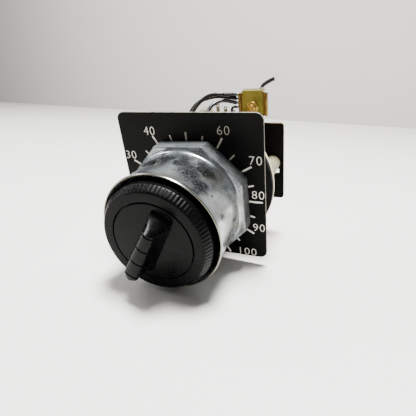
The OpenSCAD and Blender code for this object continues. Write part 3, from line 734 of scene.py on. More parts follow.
@dataclass
class Studio:
    """The camera, the lights and the table that the object lies on."""

    azimuth: float = 24.63
    elevation: float = 28.58
    roll: float = -6.22
    distance: float = 151.91
    target: Point = (5.98, -1.2, -4.93)
    lens: float = 31.7
    table_size: float = 6000.0
    table_gap: float = 0.05
    lip_inset: float = 2.7
    wall_distance: float = 638.0
    wall_turn: float = -9.24
    table_roll: float = 2.14

    def place_camera(self) -> None:
        """Stand the camera on its orbit round the target."""
        a, e, r = (math.radians(v) for v in (self.azimuth, self.elevation, self.roll))
        back = Vector((math.sin(a) * math.cos(e), -math.cos(a) * math.cos(e), math.sin(e)))
        level = Vector((math.cos(a), math.sin(a), 0))
        upright = back.cross(level)
        right = math.cos(r) * level + math.sin(r) * upright
        up = math.cos(r) * upright - math.sin(r) * level
        data = bpy.data.cameras.new("camera")
        data.lens = self.lens
        data.sensor_width = 36.0
        data.clip_start = 1 * MM
        data.clip_end = 20.0
        camera = bpy.data.objects.new("camera", data)
        turn = Matrix((right, up, back)).transposed()
        place = (Vector(self.target) + back * self.distance) * MM
        camera.matrix_world = Matrix.LocRotScale(place, turn, None)
        bpy.context.scene.camera = show(camera)

    def table_turn(self) -> Matrix:
        """Give the table's turn: the object lies on the nut's lip and the gasket's rim."""
        nut, gasket = span("ring_nut"), span("panel_gasket")
        lip_drop = (nut[1].z - nut[0].z) / 2 - self.lip_inset
        lean = math.atan2(-gasket[0].z - lip_drop, gasket[0].y - nut[0].y)
        return Matrix.Rotation(math.radians(self.table_roll), 3, "Y") @ Matrix.Rotation(-lean, 3, "X")

    def lay_table(self) -> None:
        """Lay the table under the object's lowest point, with the wall behind it."""
        turn = self.table_turn()
        normal = turn @ Vector((0, 0, 1))
        shown = [o for o in bpy.context.scene.objects if o.type == "MESH" and not o.hide_render]
        depth = min((v.co / MM).dot(normal) for o in shown for v in o.data.vertices)
        for name, tone, wall in (("table", "#dedcd8", False), ("wall", "#b8b6b2", True)):
            mesh = bmesh.new()
            bmesh.ops.create_grid(mesh, x_segments=1, y_segments=1, size=self.table_size / 2)
            if wall:
                bmesh.ops.rotate(mesh, verts=mesh.verts, matrix=Matrix.Rotation(math.pi / 2, 3, "X"))
                bmesh.ops.translate(mesh, verts=mesh.verts, vec=(0, self.wall_distance, 0))
                swing = Matrix.Rotation(math.radians(self.wall_turn), 3, "Z")
                bmesh.ops.rotate(mesh, verts=mesh.verts, matrix=swing)
            bmesh.ops.rotate(mesh, verts=mesh.verts, matrix=turn)
            bmesh.ops.translate(mesh, verts=mesh.verts, vec=normal * (depth - self.table_gap))
            bmesh.ops.scale(mesh, verts=mesh.verts, vec=(MM,) * 3)
            data = bpy.data.meshes.new(name)
            mesh.to_mesh(data)
            mesh.free()
            paper = Finish(
                f"{name}_paper", Slot.WHITE_PRINT, tone, tone, rough=(0.6, 0.8), patch=90.0, relief=0.0
            )
            data.materials.append(paper.dress())
            show(bpy.data.objects.new(name, data))

    def light(self) -> None:
        """Hang soft boxes over, beside and before the object, in an even pale room."""
        world = bpy.data.worlds.new("room")
        world.use_nodes = True
        tree = world.node_tree
        tree.nodes.clear()
        room = add(tree, "ShaderNodeBackground", {"Color": "#eef0f2", "Strength": 0.27})
        add(tree, "ShaderNodeOutputWorld", {"Surface": room.outputs[0]})
        bpy.context.scene.world = world
        for name, place, aim, (length, width), power in (
            ("overhead", (70, 145, 640), (0, 0, 0), (230, 200), 25.0),
            ("window", (-620, -60, 340), (0, 0, 0), (260, 260), 1.6),
            ("wall_wash", (-560, 250, 520), (-520, 640, 60), (300, 300), 6.6),
        ):
            data = bpy.data.lights.new(name, "AREA")
            data.shape = "RECTANGLE"
            data.size = length * MM
            data.size_y = width * MM
            data.energy = power
            lamp = bpy.data.objects.new(name, data)
            lamp.location = Vector(place) * MM
            lamp.rotation_euler = (Vector(place) - Vector(aim)).to_track_quat("Z", "Y").to_euler()
            show(lamp)


# ---- the lead wires ----


@dataclass
class LeadWires:
    """Three vinyl-covered leads to the saddle, the tap's jumper and the cut stub on top of the bracket."""

    radius: float = 0.85
    jumper_radius: float = 0.6
    core_radius: float = 0.45
    strand_radius: float = 0.16
    solder_bite: float = 0.1
    line: tuple[Point, ...] = (
        (-14.1, 30, 14.6), (-13.9, 30.3, 17.6), (-13.6, 31, 22), (-11.2, 31.8, 26.4), (-8.4, 32.8, 29.8),
        (-4.8, 34, 32.3), (-0.6, 35.3, 33.1), (3.4, 37.1, 32.7), (7.4, 39.6, 31.8),
    )
    back: tuple[Point, ...] = (
        (-15.6, 34.8, 13.2), (-15.8, 34.6, 17.4), (-15.4, 34.5, 22), (-12.9, 34.5, 26.6), (-9.4, 35.2, 29.7),
        (-5, 36.2, 31.2), (-0.8, 37.5, 31.6), (3.2, 38.8, 31), (7.4, 40.2, 30),
    )
    wiper: tuple[Point, ...] = (
        (0, 17, -24.6), (3.4, 17.2, -21.6), (9.6, 17.3, -17), (14.6, 17.3, -12.8), (18.2, 17.3, -6.6),
        (19.3, 17.3, 0.6), (17.9, 17.3, 7.6), (14, 17.4, 13.6), (8, 17.7, 17.6), (2.4, 18.6, 19.6),
        (-0.6, 20.8, 21.4), (-2, 24.4, 23.6), (-2.6, 28, 26.6), (-1.4, 31.8, 29.2), (2.2, 35.9, 30.1),
        (7.4, 39.4, 28.3),
    )
    jumper: tuple[Point, ...] = ((5.9, 36.8, 24.2), (5.9, 36.8, 25.8), (6.3, 37.6, 26.8), (7.4, 39.3, 26.4))
    stub: tuple[Point, ...] = ((19.2, 40.6, 35), (20.4, 40.6, 36.1), (22.4, 40.5, 37.2), (24.9, 40.4, 38.3))
    stub_core: tuple[Point, ...] = ((18.4, 40.4, 34.2), (18.8, 40.5, 34.6), (19.2, 40.6, 35))

    def sleeve(self, node: str, points: Sequence[Point], radius: float) -> bpy.types.Object:
        """Draw a wire's round vinyl along a smooth curve through points.

        Args:
            node: The CAD node it stands for.
            points: The route in millimetres.
            radius: The wire's radius in millimetres.

        Returns:
            The curve object.
        """
        route = smooth_route(points)
        data = bpy.data.curves.new(f"{node}_vinyl", "CURVE")
        data.dimensions = "3D"
        data.bevel_depth = radius * MM
        data.bevel_resolution = 5
        data.use_fill_caps = True
        spline = data.splines.new("POLY")
        spline.points.add(len(route) - 1)
        for point, place in zip(spline.points, route):
            point.co = (*(place * MM), 1.0)
        spline.use_smooth = True
        return hand_in(bpy.data.objects.new(data.name, data), [VINYL], [node])

    def strands(self, name: str, start: Vector, along: Vector, length: float) -> bpy.types.Object:
        """Twist seven tinned strands into a bare wire end.

        Args:
            name: The piece's name.
            start: Where the bare end begins.
            along: Its direction.
            length: Its length.

        Returns:
            The piece.
        """
        shape = Shape()
        places = [(0.0, 0.0)] + [polar(self.core_radius - self.strand_radius, 60 * k) for k in range(6)]
        aim = along.to_track_quat("Z", "Y").to_matrix()
        for x, y in places:
            known = set(shape.mesh.verts)
            made = bmesh.ops.create_circle(shape.mesh, cap_ends=True, segments=6, radius=self.strand_radius)
            bmesh.ops.translate(shape.mesh, verts=made["verts"], vec=(x, y, 0))
            faces = list({f for v in made["verts"] for f in v.link_faces})
            bmesh.ops.spin(
                shape.mesh, geom=faces, cent=(0, 0, 0), axis=(0, 0, 1), dvec=(0, 0, length / 6),
                angle=math.radians(70), steps=6, use_merge=False, use_duplicate=False,
            )
            fresh = [v for v in shape.mesh.verts if v not in known]
            bmesh.ops.rotate(shape.mesh, verts=fresh, matrix=aim)
            bmesh.ops.translate(shape.mesh, verts=fresh, vec=start)
        return shape.finish(name, [TINNED])

    def solder(self, name: str, at: Vector, radius: float) -> bpy.types.Object:
        """Set a lump of solder on the saddle's side."""
        shape = Shape()
        made = bmesh.ops.create_icosphere(shape.mesh, subdivisions=3, radius=radius)
        flat, swell, ripple = 0.62, 1.12, 0.12
        shape.move(
            made["verts"],
            lambda p: Vector((p.x * flat, p.y, p.z * (swell + ripple * math.sin(5 * p.y)))) + at,
        )
        return shape.finish(name, [TINNED])

    def land(self, name: str, points: Sequence[Point], overlap: float, lump: float) -> list[bpy.types.Object]:
        """Bare a wire's far end and solder it to the saddle's side.

        Args:
            name: The wire's name.
            points: Its route.
            overlap: How far the strands reach back into the sleeve.
            lump: The solder's radius.

        Returns:
            The strands and the solder.
        """
        side, end, along = span("wire_saddle")[0].x, Vector(points[-1]), Vector((1, 0, 0))
        bare = self.strands(f"{name}_end", end - along * overlap, along, side - end.x + overlap)
        return [bare, self.solder(f"{name}_solder", Vector((side - self.solder_bite, end.y, end.z)), lump)]

    def build(self) -> None:
        routes = {"lead_line": self.line, "lead_return": self.back, "lead_wiper": self.wiper}
        for name, points in routes.items():
            wire = self.sleeve(name, points, self.radius)
            self.land(name, points, 0.4, 0.8)
        self.sleeve("tap_jumper", self.jumper, self.jumper_radius)
        self.land("tap_jumper", self.jumper, 0.3, 0.7)
        self.sleeve("lead_stub", self.stub, self.radius)
        start, stop = Vector(self.stub_core[0]), Vector(self.stub_core[-1])
        self.strands("lead_stub_core", start, stop - start, (stop - start).length + 0.6)
        tip = Vector(self.stub[-1])
        away = (tip - Vector(self.stub[-2])).normalized()
        self.strands("lead_stub_cut_end", tip - away * 0.5, away, 0.62)


# ---- the dial ----


@dataclass
class Dial:
    """The square dial plate with its printed scale."""

    corner: float = 3.0
    corner_steps: int = 15
    bore_gap: float = 0.2
    edge: float = 0.28
    print_height: float = 0.05
    digit_height: float = 3.35
    digit_width: float = 2.4
    label_radius: float = 31.7
    side_x: float = 27.3
    left_x: float = -26.45
    tick_long: float = 29.3
    tick_short: float = 26.9
    tick_middle: float = 27.3
    tick_width: float = 0.72
    thin_share: float = 0.8
    tick_count: int = 21
    tick_pitch: float = 15.0
    first_tick: float = 240.0

    def plate(self) -> None:
        """Cut the plate with round corners and its bore, with softened edges whose paint has rubbed off."""
        low, high = span("dial_plate")
        middle = (low + high) / 2
        shape = Shape()
        mesh = shape.mesh
        corners = bmesh.ops.create_grid(mesh, x_segments=1, y_segments=1, size=0.5)["verts"]
        size = high - low
        shape.move(corners, lambda p: Vector((middle.x + p.x * size.x, low.y, middle.z + p.y * size.z)))
        bmesh.ops.bevel(
            mesh, geom=corners, offset=self.corner, offset_type="OFFSET", affect="VERTICES",
            segments=self.corner_steps, profile=0.5, clamp_overlap=True, material=-1,
        )
        bmesh.ops.delete(mesh, geom=list(mesh.faces), context="FACES_ONLY")
        rim = list(mesh.edges)
        known = set(mesh.verts)
        bore_radius = span("barrel")[1].x - 2.5 + self.bore_gap
        circle = bmesh.ops.create_circle(mesh, cap_ends=False, segments=len(rim), radius=bore_radius)["verts"]
        bmesh.ops.rotate(mesh, verts=circle, matrix=Matrix.Rotation(math.pi / 2, 3, "X"))
        bmesh.ops.translate(mesh, verts=circle, vec=(0, low.y, 0))
        hole = [e for e in mesh.edges if all(v not in known for v in e.verts)]
        front = bmesh.ops.bridge_loops(mesh, edges=rim + hole)["faces"]
        raised = bmesh.ops.extrude_face_region(mesh, geom=front)["geom"]
        back = only(bmesh.types.BMVert, raised)
        bmesh.ops.translate(mesh, verts=back, vec=(0, size.y, 0))
        bmesh.ops.recalc_face_normals(mesh, faces=mesh.faces)
        shape.ease(self.edge, 60.0, 3)
        bmesh.ops.recalc_face_normals(mesh, faces=mesh.faces)
        for face in mesh.faces:
            face.normal_update()
            away = face.calc_center_median()
            outside = math.hypot(away.x, away.z) > bore_radius + 5
            face.material_index = 1 if outside and abs(face.normal.y) < 0.3 else 0
        shape.finish("dial_plate_enamelled", [BLACK_ENAMEL, BARE_EDGE], ["dial_plate"])

    def ticks(self) -> None:
        """Print the ticks, from the nut's outline outwards."""
        face = span("dial_plate")[0].y
        nut = RingNut()
        shape = Shape()
        for step in range(self.tick_count):
            angle = self.first_tick - self.tick_pitch * step
            outer = self.tick_short if step % 2 else self.tick_long
            wide = self.tick_width * (self.thin_share if step % 2 else 1.0)
            if step == self.tick_count // 2:
                outer = self.tick_middle
            inner = nut.reach(angle) + 0.05
            made = bmesh.ops.create_cube(shape.mesh, size=1.0)["verts"]
            middle = ((outer + inner) / 2, face - self.print_height / 2, 0)
            bmesh.ops.scale(shape.mesh, verts=made, vec=(outer - inner, self.print_height, wide))
            bmesh.ops.translate(shape.mesh, verts=made, vec=middle)
            turn = Matrix.Rotation(-math.radians(angle), 3, "Y")
            bmesh.ops.rotate(shape.mesh, verts=made, matrix=turn)
        shape.finish("scale_ticks", [WHITE_INK], ["scale_marks"])

    def labels(self) -> dict[int, tuple[float, float]]:
        """Give the middle of each number: beyond its tick at the top, in a column at either side."""
        spots = {40: polar(self.label_radius, 120), 60: (15.3, 28.3)}
        spots |= {30: (self.left_x, 17.0), 70: (self.side_x - 0.3, 17.2)}
        spots |= {80: (self.side_x + 0.2, 3.1), 90: (self.side_x + 0.15, -11.6), 100: (22.4, -24.0)}
        spots |= {20: (self.left_x, 3.0), 10: (self.left_x, -11.6), 0: (-22.4, -24.0)}
        return spots

    def numbers(self) -> None:
        """Print the scale's numbers."""
        face = span("dial_plate")[0].y
        shape = Shape()
        for value, (x, z) in self.labels().items():
            text = bpy.data.curves.new("number", "FONT")
            text.body = str(value)
            text.align_x, text.align_y = "CENTER", "CENTER"
            text.extrude = 0.5
            text.offset = -0.014
            text.space_character = 1.12
            text.resolution_u = 6
            maker = show(bpy.data.objects.new("number", text))
            bpy.context.view_layer.update()
            graph = bpy.context.evaluated_depsgraph_get()
            drawn = bpy.data.meshes.new_from_object(maker.evaluated_get(graph))
            known = set(shape.mesh.verts)
            shape.mesh.from_mesh(drawn)
            fresh = [v for v in shape.mesh.verts if v not in known]
            bpy.data.objects.remove(maker)
            bpy.data.meshes.remove(drawn)
            bpy.data.curves.remove(text)
            xs, ys = [v.co.x for v in fresh], [v.co.y for v in fresh]
            wide = self.digit_width * len(str(value)) / (max(xs) - min(xs))
            tall = self.digit_height / (max(ys) - min(ys))
            mid_x, mid_y = (max(xs) + min(xs)) / 2, (max(ys) + min(ys)) / 2
            shape.move(
                fresh,
                lambda p: Vector((
                    x + (p.x - mid_x) * wide,
                    face - self.print_height * (p.z + 0.5),
                    z + (p.y - mid_y) * tall,
                )),
            )
        bmesh.ops.remove_doubles(shape.mesh, verts=shape.mesh.verts, dist=1e-4)
        shape.finish("scale_numbers", [WHITE_INK])

    def build(self) -> None:
        """Make the dial."""
        self.plate()
        self.ticks()
        self.numbers()


# ---- the ring nut and the knob ----


@dataclass
class RingNut:
    """The chromed nut: an octagonal flange that runs into a shroud with a rolled lip."""

    corners: int = 8
    corner_turn: float = 24.2
    corner_radius: float = 25.9
    steps: int = 192
    shroud: float = 22.4
    bore: float = 15.0
    wall: float = 0.6
    lip: float = 23.1
    face_start: float = 23.6
    face_blend: float = 1.2
    thread_pitch: float = 1.0
    corner_round: float = 0.3

    def profile(self, back: float, front: float) -> list[tuple[float, float]]:
        """Give the nut's section as radius and station, with octagon rings at their corner radius.

        Args:
            back: Station of the flange's rear face.
            front: Station of the lip's front.

        Returns:
            The corners of the closed profile.
        """
        corner, inner = self.corner_radius, self.shroud - self.wall
        outside = [
            (corner - 0.5, back), (corner - 0.1, back - 0.25), (corner, back - 0.6), (corner, back - 6.9),
            (corner - 0.1, back - 7.15), (corner - 0.35, back - 7.3), (23.7, back - 7.36),
            (23.3, back - 7.5), (22.84, back - 8), (22.66, back - 8.3),
            (22.53, back - 8.6), (22.44, back - 9), (self.shroud, back - 9.6), (self.shroud, back - 18),
            (self.shroud, front + 2.4), (22.46, front + 2.1), (22.7, front + 1.8),
            (self.lip - 0.1, front + 1.5), (self.lip, front + 1.2),
            (self.lip, front + 0.6), (self.lip - 0.06, front + 0.3), (22.9, front + 0.07), (22.75, front),
            (22.58, front + 0.05), (22.4, front + 0.35), (inner, front + 1.0),
        ]
        inside = [
            (inner, back - 9), (inner - 0.6, back - 8.1), (self.bore + 0.7, back - 8),
            (self.bore, back - 7.6),
        ]
        grooves = int(6.4 / self.thread_pitch)
        for k in range(grooves):
            inside.append((self.bore, back - 7.2 + k * self.thread_pitch))
            inside.append((self.bore + 0.5, back - 6.7 + k * self.thread_pitch))
        return outside + inside + [(self.bore, back - 0.6), (self.bore + 0.6, back)]

    def reach(self, angle: float) -> float:
        """Give how far out the flange's flats are at a polar angle in degrees."""
        half = math.pi / self.corners
        turn = math.radians(angle - self.corner_turn) % (2 * half) - half
        return self.corner_radius * math.cos(half) / math.cos(turn)

    def octagon(self, p: Vector) -> Vector:
        """Pull a flange point in from the corner circle to the octagon's flats."""
        radius = math.hypot(p.x, p.z)
        share = min(max((radius - self.face_start) / self.face_blend, 0.0), 1.0)
        factor = 1 + share * (self.reach(math.degrees(math.atan2(p.z, p.x))) / self.corner_radius - 1)
        return Vector((p.x * factor, p.y, p.z * factor))

    def build(self) -> None:
        """Turn the nut, form its octagon and soften the eight corners."""
        low, _ = span("ring_nut")
        back = span("dial_plate")[0].y
        shape = Shape()
        made = shape.turn(self.profile(back, low.y), self.steps, start=self.corner_turn)
        shape.move(made, self.octagon)
        corner_edges = [
            e for e in shape.mesh.edges
            if all(math.hypot(v.co.x, v.co.z) > self.corner_radius - 0.15 for v in e.verts)
            and abs(e.verts[0].co.y - e.verts[1].co.y) > 0.2
        ]
        bmesh.ops.bevel(
            shape.mesh, geom=corner_edges, offset=self.corner_round, offset_type="OFFSET", affect="EDGES",
            segments=2, profile=0.5, clamp_overlap=True, material=-1,
        )
        shape.finish("ring_nut_chromed", [CHROME], ["ring_nut"], crease=32.0)


@dataclass
class Knob:
    """The fluted knob body with its lever disc and lever."""

    flutes: int = 88
    columns: int = 4
    flute_depth: float = 0.27
    flute_steps: tuple[float, ...] = (0.0, 0.4, 1.0, 0.4)
    face: float = 19.35
    skirt: float = 20.8
    disc: float = 15.0
    groove: float = 0.5
    disc_depth: float = 1.5
    band: float = 3.1
    lever_angle: float = 240.0
    head_radius: float = 3.0
    screw_radius: float = 1.5
    hub_radius: float = 7.0
    skirt_wall: float = 3.0
    skirt_length: float = 9.2
    heel: float = -12.6
    heel_power: float = 1.12
    ridge_start: float = -9.6
    tip: float = 13.5
    tip_round: float = 3.0
    height: float = 7.5
    crown: float = 0.65
    notch: float = 0.42
    notch_half: float = 0.17
    ridge_half: float = 1.95
    ridge_spread: float = 0.85
    foot_side: float = 4.05
    foot_spread: float = 1.1
    lever_shift: float = -0.5
    notches: tuple[float, ...] = (-8.7, -2.4, 4.0, 10.6)

    def body(self) -> None:
        """Turn the knob's body and press the flutes into its conical band."""
        low, high = span("knob_body")
        front, back, hub_back = low.y, low.y + self.band + self.skirt_length, high.y
        screw, spindle, inner = self.screw_radius, span("spindle"), self.skirt - self.skirt_wall
        recess = self.disc + self.groove
        profile = [
            (self.head_radius, front + self.disc_depth), (recess, front + self.disc_depth),
            (recess, front + 0.15), (recess + 0.15, front), (self.face - 0.75, front),
            (self.face - 0.3, front + 0.04),
            (self.face, front + 0.25), (self.face + 0.35, front + 0.9),
            (self.skirt - 0.12, front + self.band - 0.3),
            (self.skirt, front + self.band + 0.3), (self.skirt, back - 0.2), (self.skirt - 0.2, back),
            (inner, back), (inner, front + 6), (self.hub_radius, front + 6), (self.hub_radius, hub_back),
            (spindle[1].x, hub_back), (spindle[1].x, spindle[0].y), (screw, spindle[0].y),
            (screw, spindle[0].y - 1.5), (self.head_radius, spindle[0].y - 1.5),
        ]
        shape = Shape()
        made = shape.turn(profile, self.flutes * self.columns)
        first, last = front + 0.02, front + self.band + 0.1
        step = FULL_TURN / (self.flutes * self.columns)

        def press(p: Vector) -> Vector:
            """Push each flute's columns in, its valley the most."""
            radius = math.hypot(p.x, p.z)
            column = round(math.atan2(p.z, p.x) / step) % self.columns
            if not column or not first < p.y < last or radius < self.face - 0.5:
                return p
            depth = self.flute_depth * self.flute_steps[column] * (0.45 if p.y < front + 0.1 else 1.0)
            return Vector((p.x * (1 - depth / radius), p.y, p.z * (1 - depth / radius)))

        shape.move(made, press)
        shape.finish("knob_body_fluted", [BLACK_MOULDING], ["knob_body"], Body.ROTOR, crease=50.0)

    def top_half(self, along: float) -> float:
        """Give half the ridge's width at a place along the lever: wider towards the tip."""
        share = (along - self.ridge_start) / (self.tip - self.ridge_start)
        return self.ridge_half + self.ridge_spread * min(max(share, 0.0), 1.0)

    def foot_half(self, along: float) -> float:
        """Give half the lever's width at its foot."""
        share = (along - self.heel) / (self.tip - self.heel)
        return self.foot_side + self.foot_spread * min(max(share, 0.0), 1.0)

    def section(self, along: float) -> list[Vector]:
        """Give the lever's cross-section at a place along it, from one foot over the ridge to the other.

        Args:
            along: Distance from the knob's axis towards the tip.

        Returns:
            Points with Y as height and X across.
        """
        rise = min(max((along - self.heel) / (self.ridge_start - self.heel), 0.0), 1.0) ** self.heel_power
        flare = 1.15 + 1.45 * min(max((along - self.ridge_start) / 6, 0.0), 1.0)
        high = self.height * max(rise, 0.02)
        past = max(along - (self.tip - self.tip_round), 0.0) / self.tip_round
        narrow = math.sqrt(max(1 - past**2, 0.03))
        notch = self.notch if any(abs(along - n) < self.notch_half for n in self.notches) else 0.0
        arch = self.crown * rise
        top, foot = self.top_half(along), self.foot_half(along)
        half = []
        for share in (0.0, 0.06, 0.14, 0.24, 0.36, 0.5, 0.66, 0.82, 0.93):
            level = share * max(rise, 0.02)
            half.append(((top + (foot - top) * (1 - level) ** flare) * narrow, share * high))
        level = max(rise, 0.02)
        edge = (top + (foot - top) * (1 - level) ** flare) * narrow
        drop = 0.5 * past**2 + notch
        half.append((edge - 0.04, high * 0.97 - drop * 0.5))
        half.append((edge - 0.2, high - drop))
        half.append((edge * 0.72, high + 0.5 * arch - drop))
        half.append((edge * 0.38, high + 0.87 * arch - drop))
        right = [Vector((w, h, along)) for w, h in half]
        left = [Vector((-w, h, along)) for w, h in reversed(half)]
        return right + [Vector((0, high + arch - drop, along))] + left

    def stations(self) -> list[float]:
        """Give the places of the lever's sections, closer together at its ends and notches."""
        places = [self.heel + (self.ridge_start - self.heel) * k / 9 for k in range(10)]
        places += [self.ridge_start + 0.35]
        places += [-7.4, -5.0, -4.0, -1.0, 0.8, 2.4, 5.6, 7.4, 9.0]
        places += [self.tip - self.tip_round * (1 - math.sin(math.pi / 2 * k / 12)) for k in range(13)]
        for n in self.notches:
            places += [n - 0.32, n - 0.16, n + 0.16, n + 0.32]
        return sorted(set(places))

    def lever(self) -> None:
        """Turn the lever's disc and loft the lever from its sections."""
        back = span("knob_lever")[1].y
        face = back - self.disc_depth
        shape = Shape()
        shape.turn([
            (0, face), (self.disc - 0.2, face), (self.disc - 0.05, face + 0.06), (self.disc, face + 0.2),
            (self.disc, back - 0.1), (self.disc - 0.1, back), (0, back),
        ], 128, closed=False)
        mesh = shape.mesh
        known = set(mesh.verts)
        places = self.stations()
        row = [mesh.verts.new(p) for p in self.section(places[0])]
        edges = [mesh.edges.new(pair) for pair in zip(row, row[1:])]
        for place in places[1:]:
            grown = bmesh.ops.extrude_edge_only(mesh, edges=edges)["geom"]
            edges = only(bmesh.types.BMEdge, grown)
            fresh = {v for e in edges for v in e.verts}
            ends = [v for v in fresh if sum(v in e.verts for e in edges) == 1]
            row = [max(ends, key=lambda v: v.co.x)]
            grown_edges = set(edges)
            while len(row) < len(fresh):
                last = row[-1]
                step = next(e for e in last.link_edges if e in grown_edges and e.other_vert(last) not in row)
                row.append(step.other_vert(last))
            for v, p in zip(row, self.section(place)):
                v.co = p
        rim = [e for e in mesh.edges if e.is_boundary and all(v not in known for v in e.verts)]
        sunk = bmesh.ops.extrude_edge_only(mesh, edges=rim)["geom"]
        floor = only(bmesh.types.BMVert, sunk)
        shape.move(floor, lambda p: Vector((p.x, -0.3, p.z)))
        closing = only(bmesh.types.BMEdge, sunk)
        bmesh.ops.contextual_create(mesh, geom=closing)
        lever_verts = [v for v in mesh.verts if v not in known]
        bmesh.ops.remove_doubles(mesh, verts=lever_verts, dist=1e-4)
        lever_verts = [v for v in mesh.verts if v not in known]
        # The heel's faces take the smoother moulding, whose darker tone is painted shade.
        for f in mesh.faces:
            middle = f.calc_center_median()
            if f.verts[0] not in known and middle.y > 0.1 and middle.z < self.ridge_start:
                f.material_index = 1
        along = Vector((*polar(1, self.lever_angle), 0)).xzy
        across = Vector((*polar(1, self.lever_angle + 90), 0)).xzy
        shape.move(
            lever_verts,
            lambda p: along * p.z + across * (p.x + self.lever_shift) + Vector((0, face - p.y, 0)),
        )
        finishes = [BLACK_MOULDING, SMOOTH_SHADED_MOULDING]
        shape.finish("knob_lever_moulded", finishes, ["knob_lever"], Body.ROTOR, crease=34.0)

    def build(self) -> None:
        """Make the knob."""
        self.body()
        self.lever()


# ---- the parts behind the panel ----


@dataclass
class Operator:
    """The barrel, gasket, carrier disc and posts."""

    barrel_radius: float = 15.0
    pitch: float = 1.0
    thread_depth: float = 0.55
    nose: float = 8.505
    flange: float = 17.5
    bore_gap: float = 0.2
    belly: float = 0.06
    nut_depth: float = 8.0
    post_radius: float = 3.45
    post_bore: float = 1.55
    post_circle: float = 24.0
    post_angles: tuple[int, ...] = (0, 110, 250)

    def barrel(self) -> None:
        """Turn the threaded barrel with its nose, flange and stepped bore."""
        low, high = span("barrel")
        front = span("dial_plate")[0].y - self.nut_depth
        bush = span("rear_bush")
        seat = bush[1].x
        flange_front = span("carrier_disc")[1].y
        profile = [(self.nose - 0.8, low.y), (self.nose, low.y + 0.8), (self.nose, front)]
        profile += [(self.barrel_radius - 1, front), (self.barrel_radius - 0.5, front + 0.4)]
        turns = int((flange_front - front - 1.5) / self.pitch)
        for k in range(turns):
            station = front + 0.8 + k * self.pitch
            profile += [(self.barrel_radius, station), (self.barrel_radius, station + 0.12)]
            profile.append((self.barrel_radius - self.thread_depth, station + self.pitch * 0.55))
        profile += [
            (self.barrel_radius, flange_front - 0.3), (self.barrel_radius, flange_front),
            (self.flange, flange_front), (self.flange, high.y - 0.3), (self.flange - 0.3, high.y),
            (seat, high.y), (seat, bush[0].y), (seat + 1.4, bush[0].y - 0.8), (seat + 1.4, low.y + 10.8),
            (seat, low.y + 10), (seat, low.y),
        ]
        shape = Shape()
        shape.turn(profile, 96)
        shape.finish("barrel_threaded", [DIE_CAST], ["barrel"], crease=30.0)

    def sheet_ring(self, node: str, name: str, finish: Finish, edge: float) -> None:
        """Cut a round sheet with softened edges where a CAD disc is.

        Args:
            node: The CAD node it stands for.
            name: The piece's name.
            finish: Its finish.
            edge: Width of the softened edge.
        """
        low, high = span(node)
        outer, inner = high.x, self.barrel_radius + self.bore_gap
        profile = [
            (inner, low.y + edge), (inner + edge, low.y), (outer - edge, low.y),
            (outer - edge * 0.3, low.y + edge * 0.3), (outer, low.y + edge),
            (outer - self.belly, (low.y + high.y) / 2), (outer, high.y - edge),
            (outer - edge * 0.3, high.y - edge * 0.3), (outer - edge, high.y), (inner + edge, high.y),
            (inner, high.y - edge),
        ]
        shape = Shape()
        shape.turn(profile, 160)
        shape.finish(name, [finish], [node])

    def posts(self) -> None:
        """Turn the three standoff posts, with their ends broken and a faint tool step."""
        low, high = span("standoff_posts")
        shape = Shape()
        r, soft = self.post_radius, 0.45
        for angle in self.post_angles:
            shape.turn([
                (self.post_bore, low.y), (r - soft, low.y), (r - 0.12, low.y + 0.15), (r, low.y + soft),
                (r, low.y + 3), (r - 0.06, low.y + 3.2), (r - 0.06, high.y - 3.2), (r, high.y - 3),
                (r, high.y - soft), (r - 0.12, high.y - 0.15), (r - soft, high.y), (self.post_bore, high.y),
            ], 48, at=polar(self.post_circle, angle))
        shape.finish("standoff_posts_turned", [NYLON], ["standoff_posts"])

    def build(self) -> None:
        """Make the operator's fixed parts."""
        self.barrel()
        self.sheet_ring("panel_gasket", "panel_gasket_cut", NEOPRENE, 0.3)
        self.sheet_ring("carrier_disc", "carrier_disc_cut", LAMINATE, 0.15)
        self.posts()


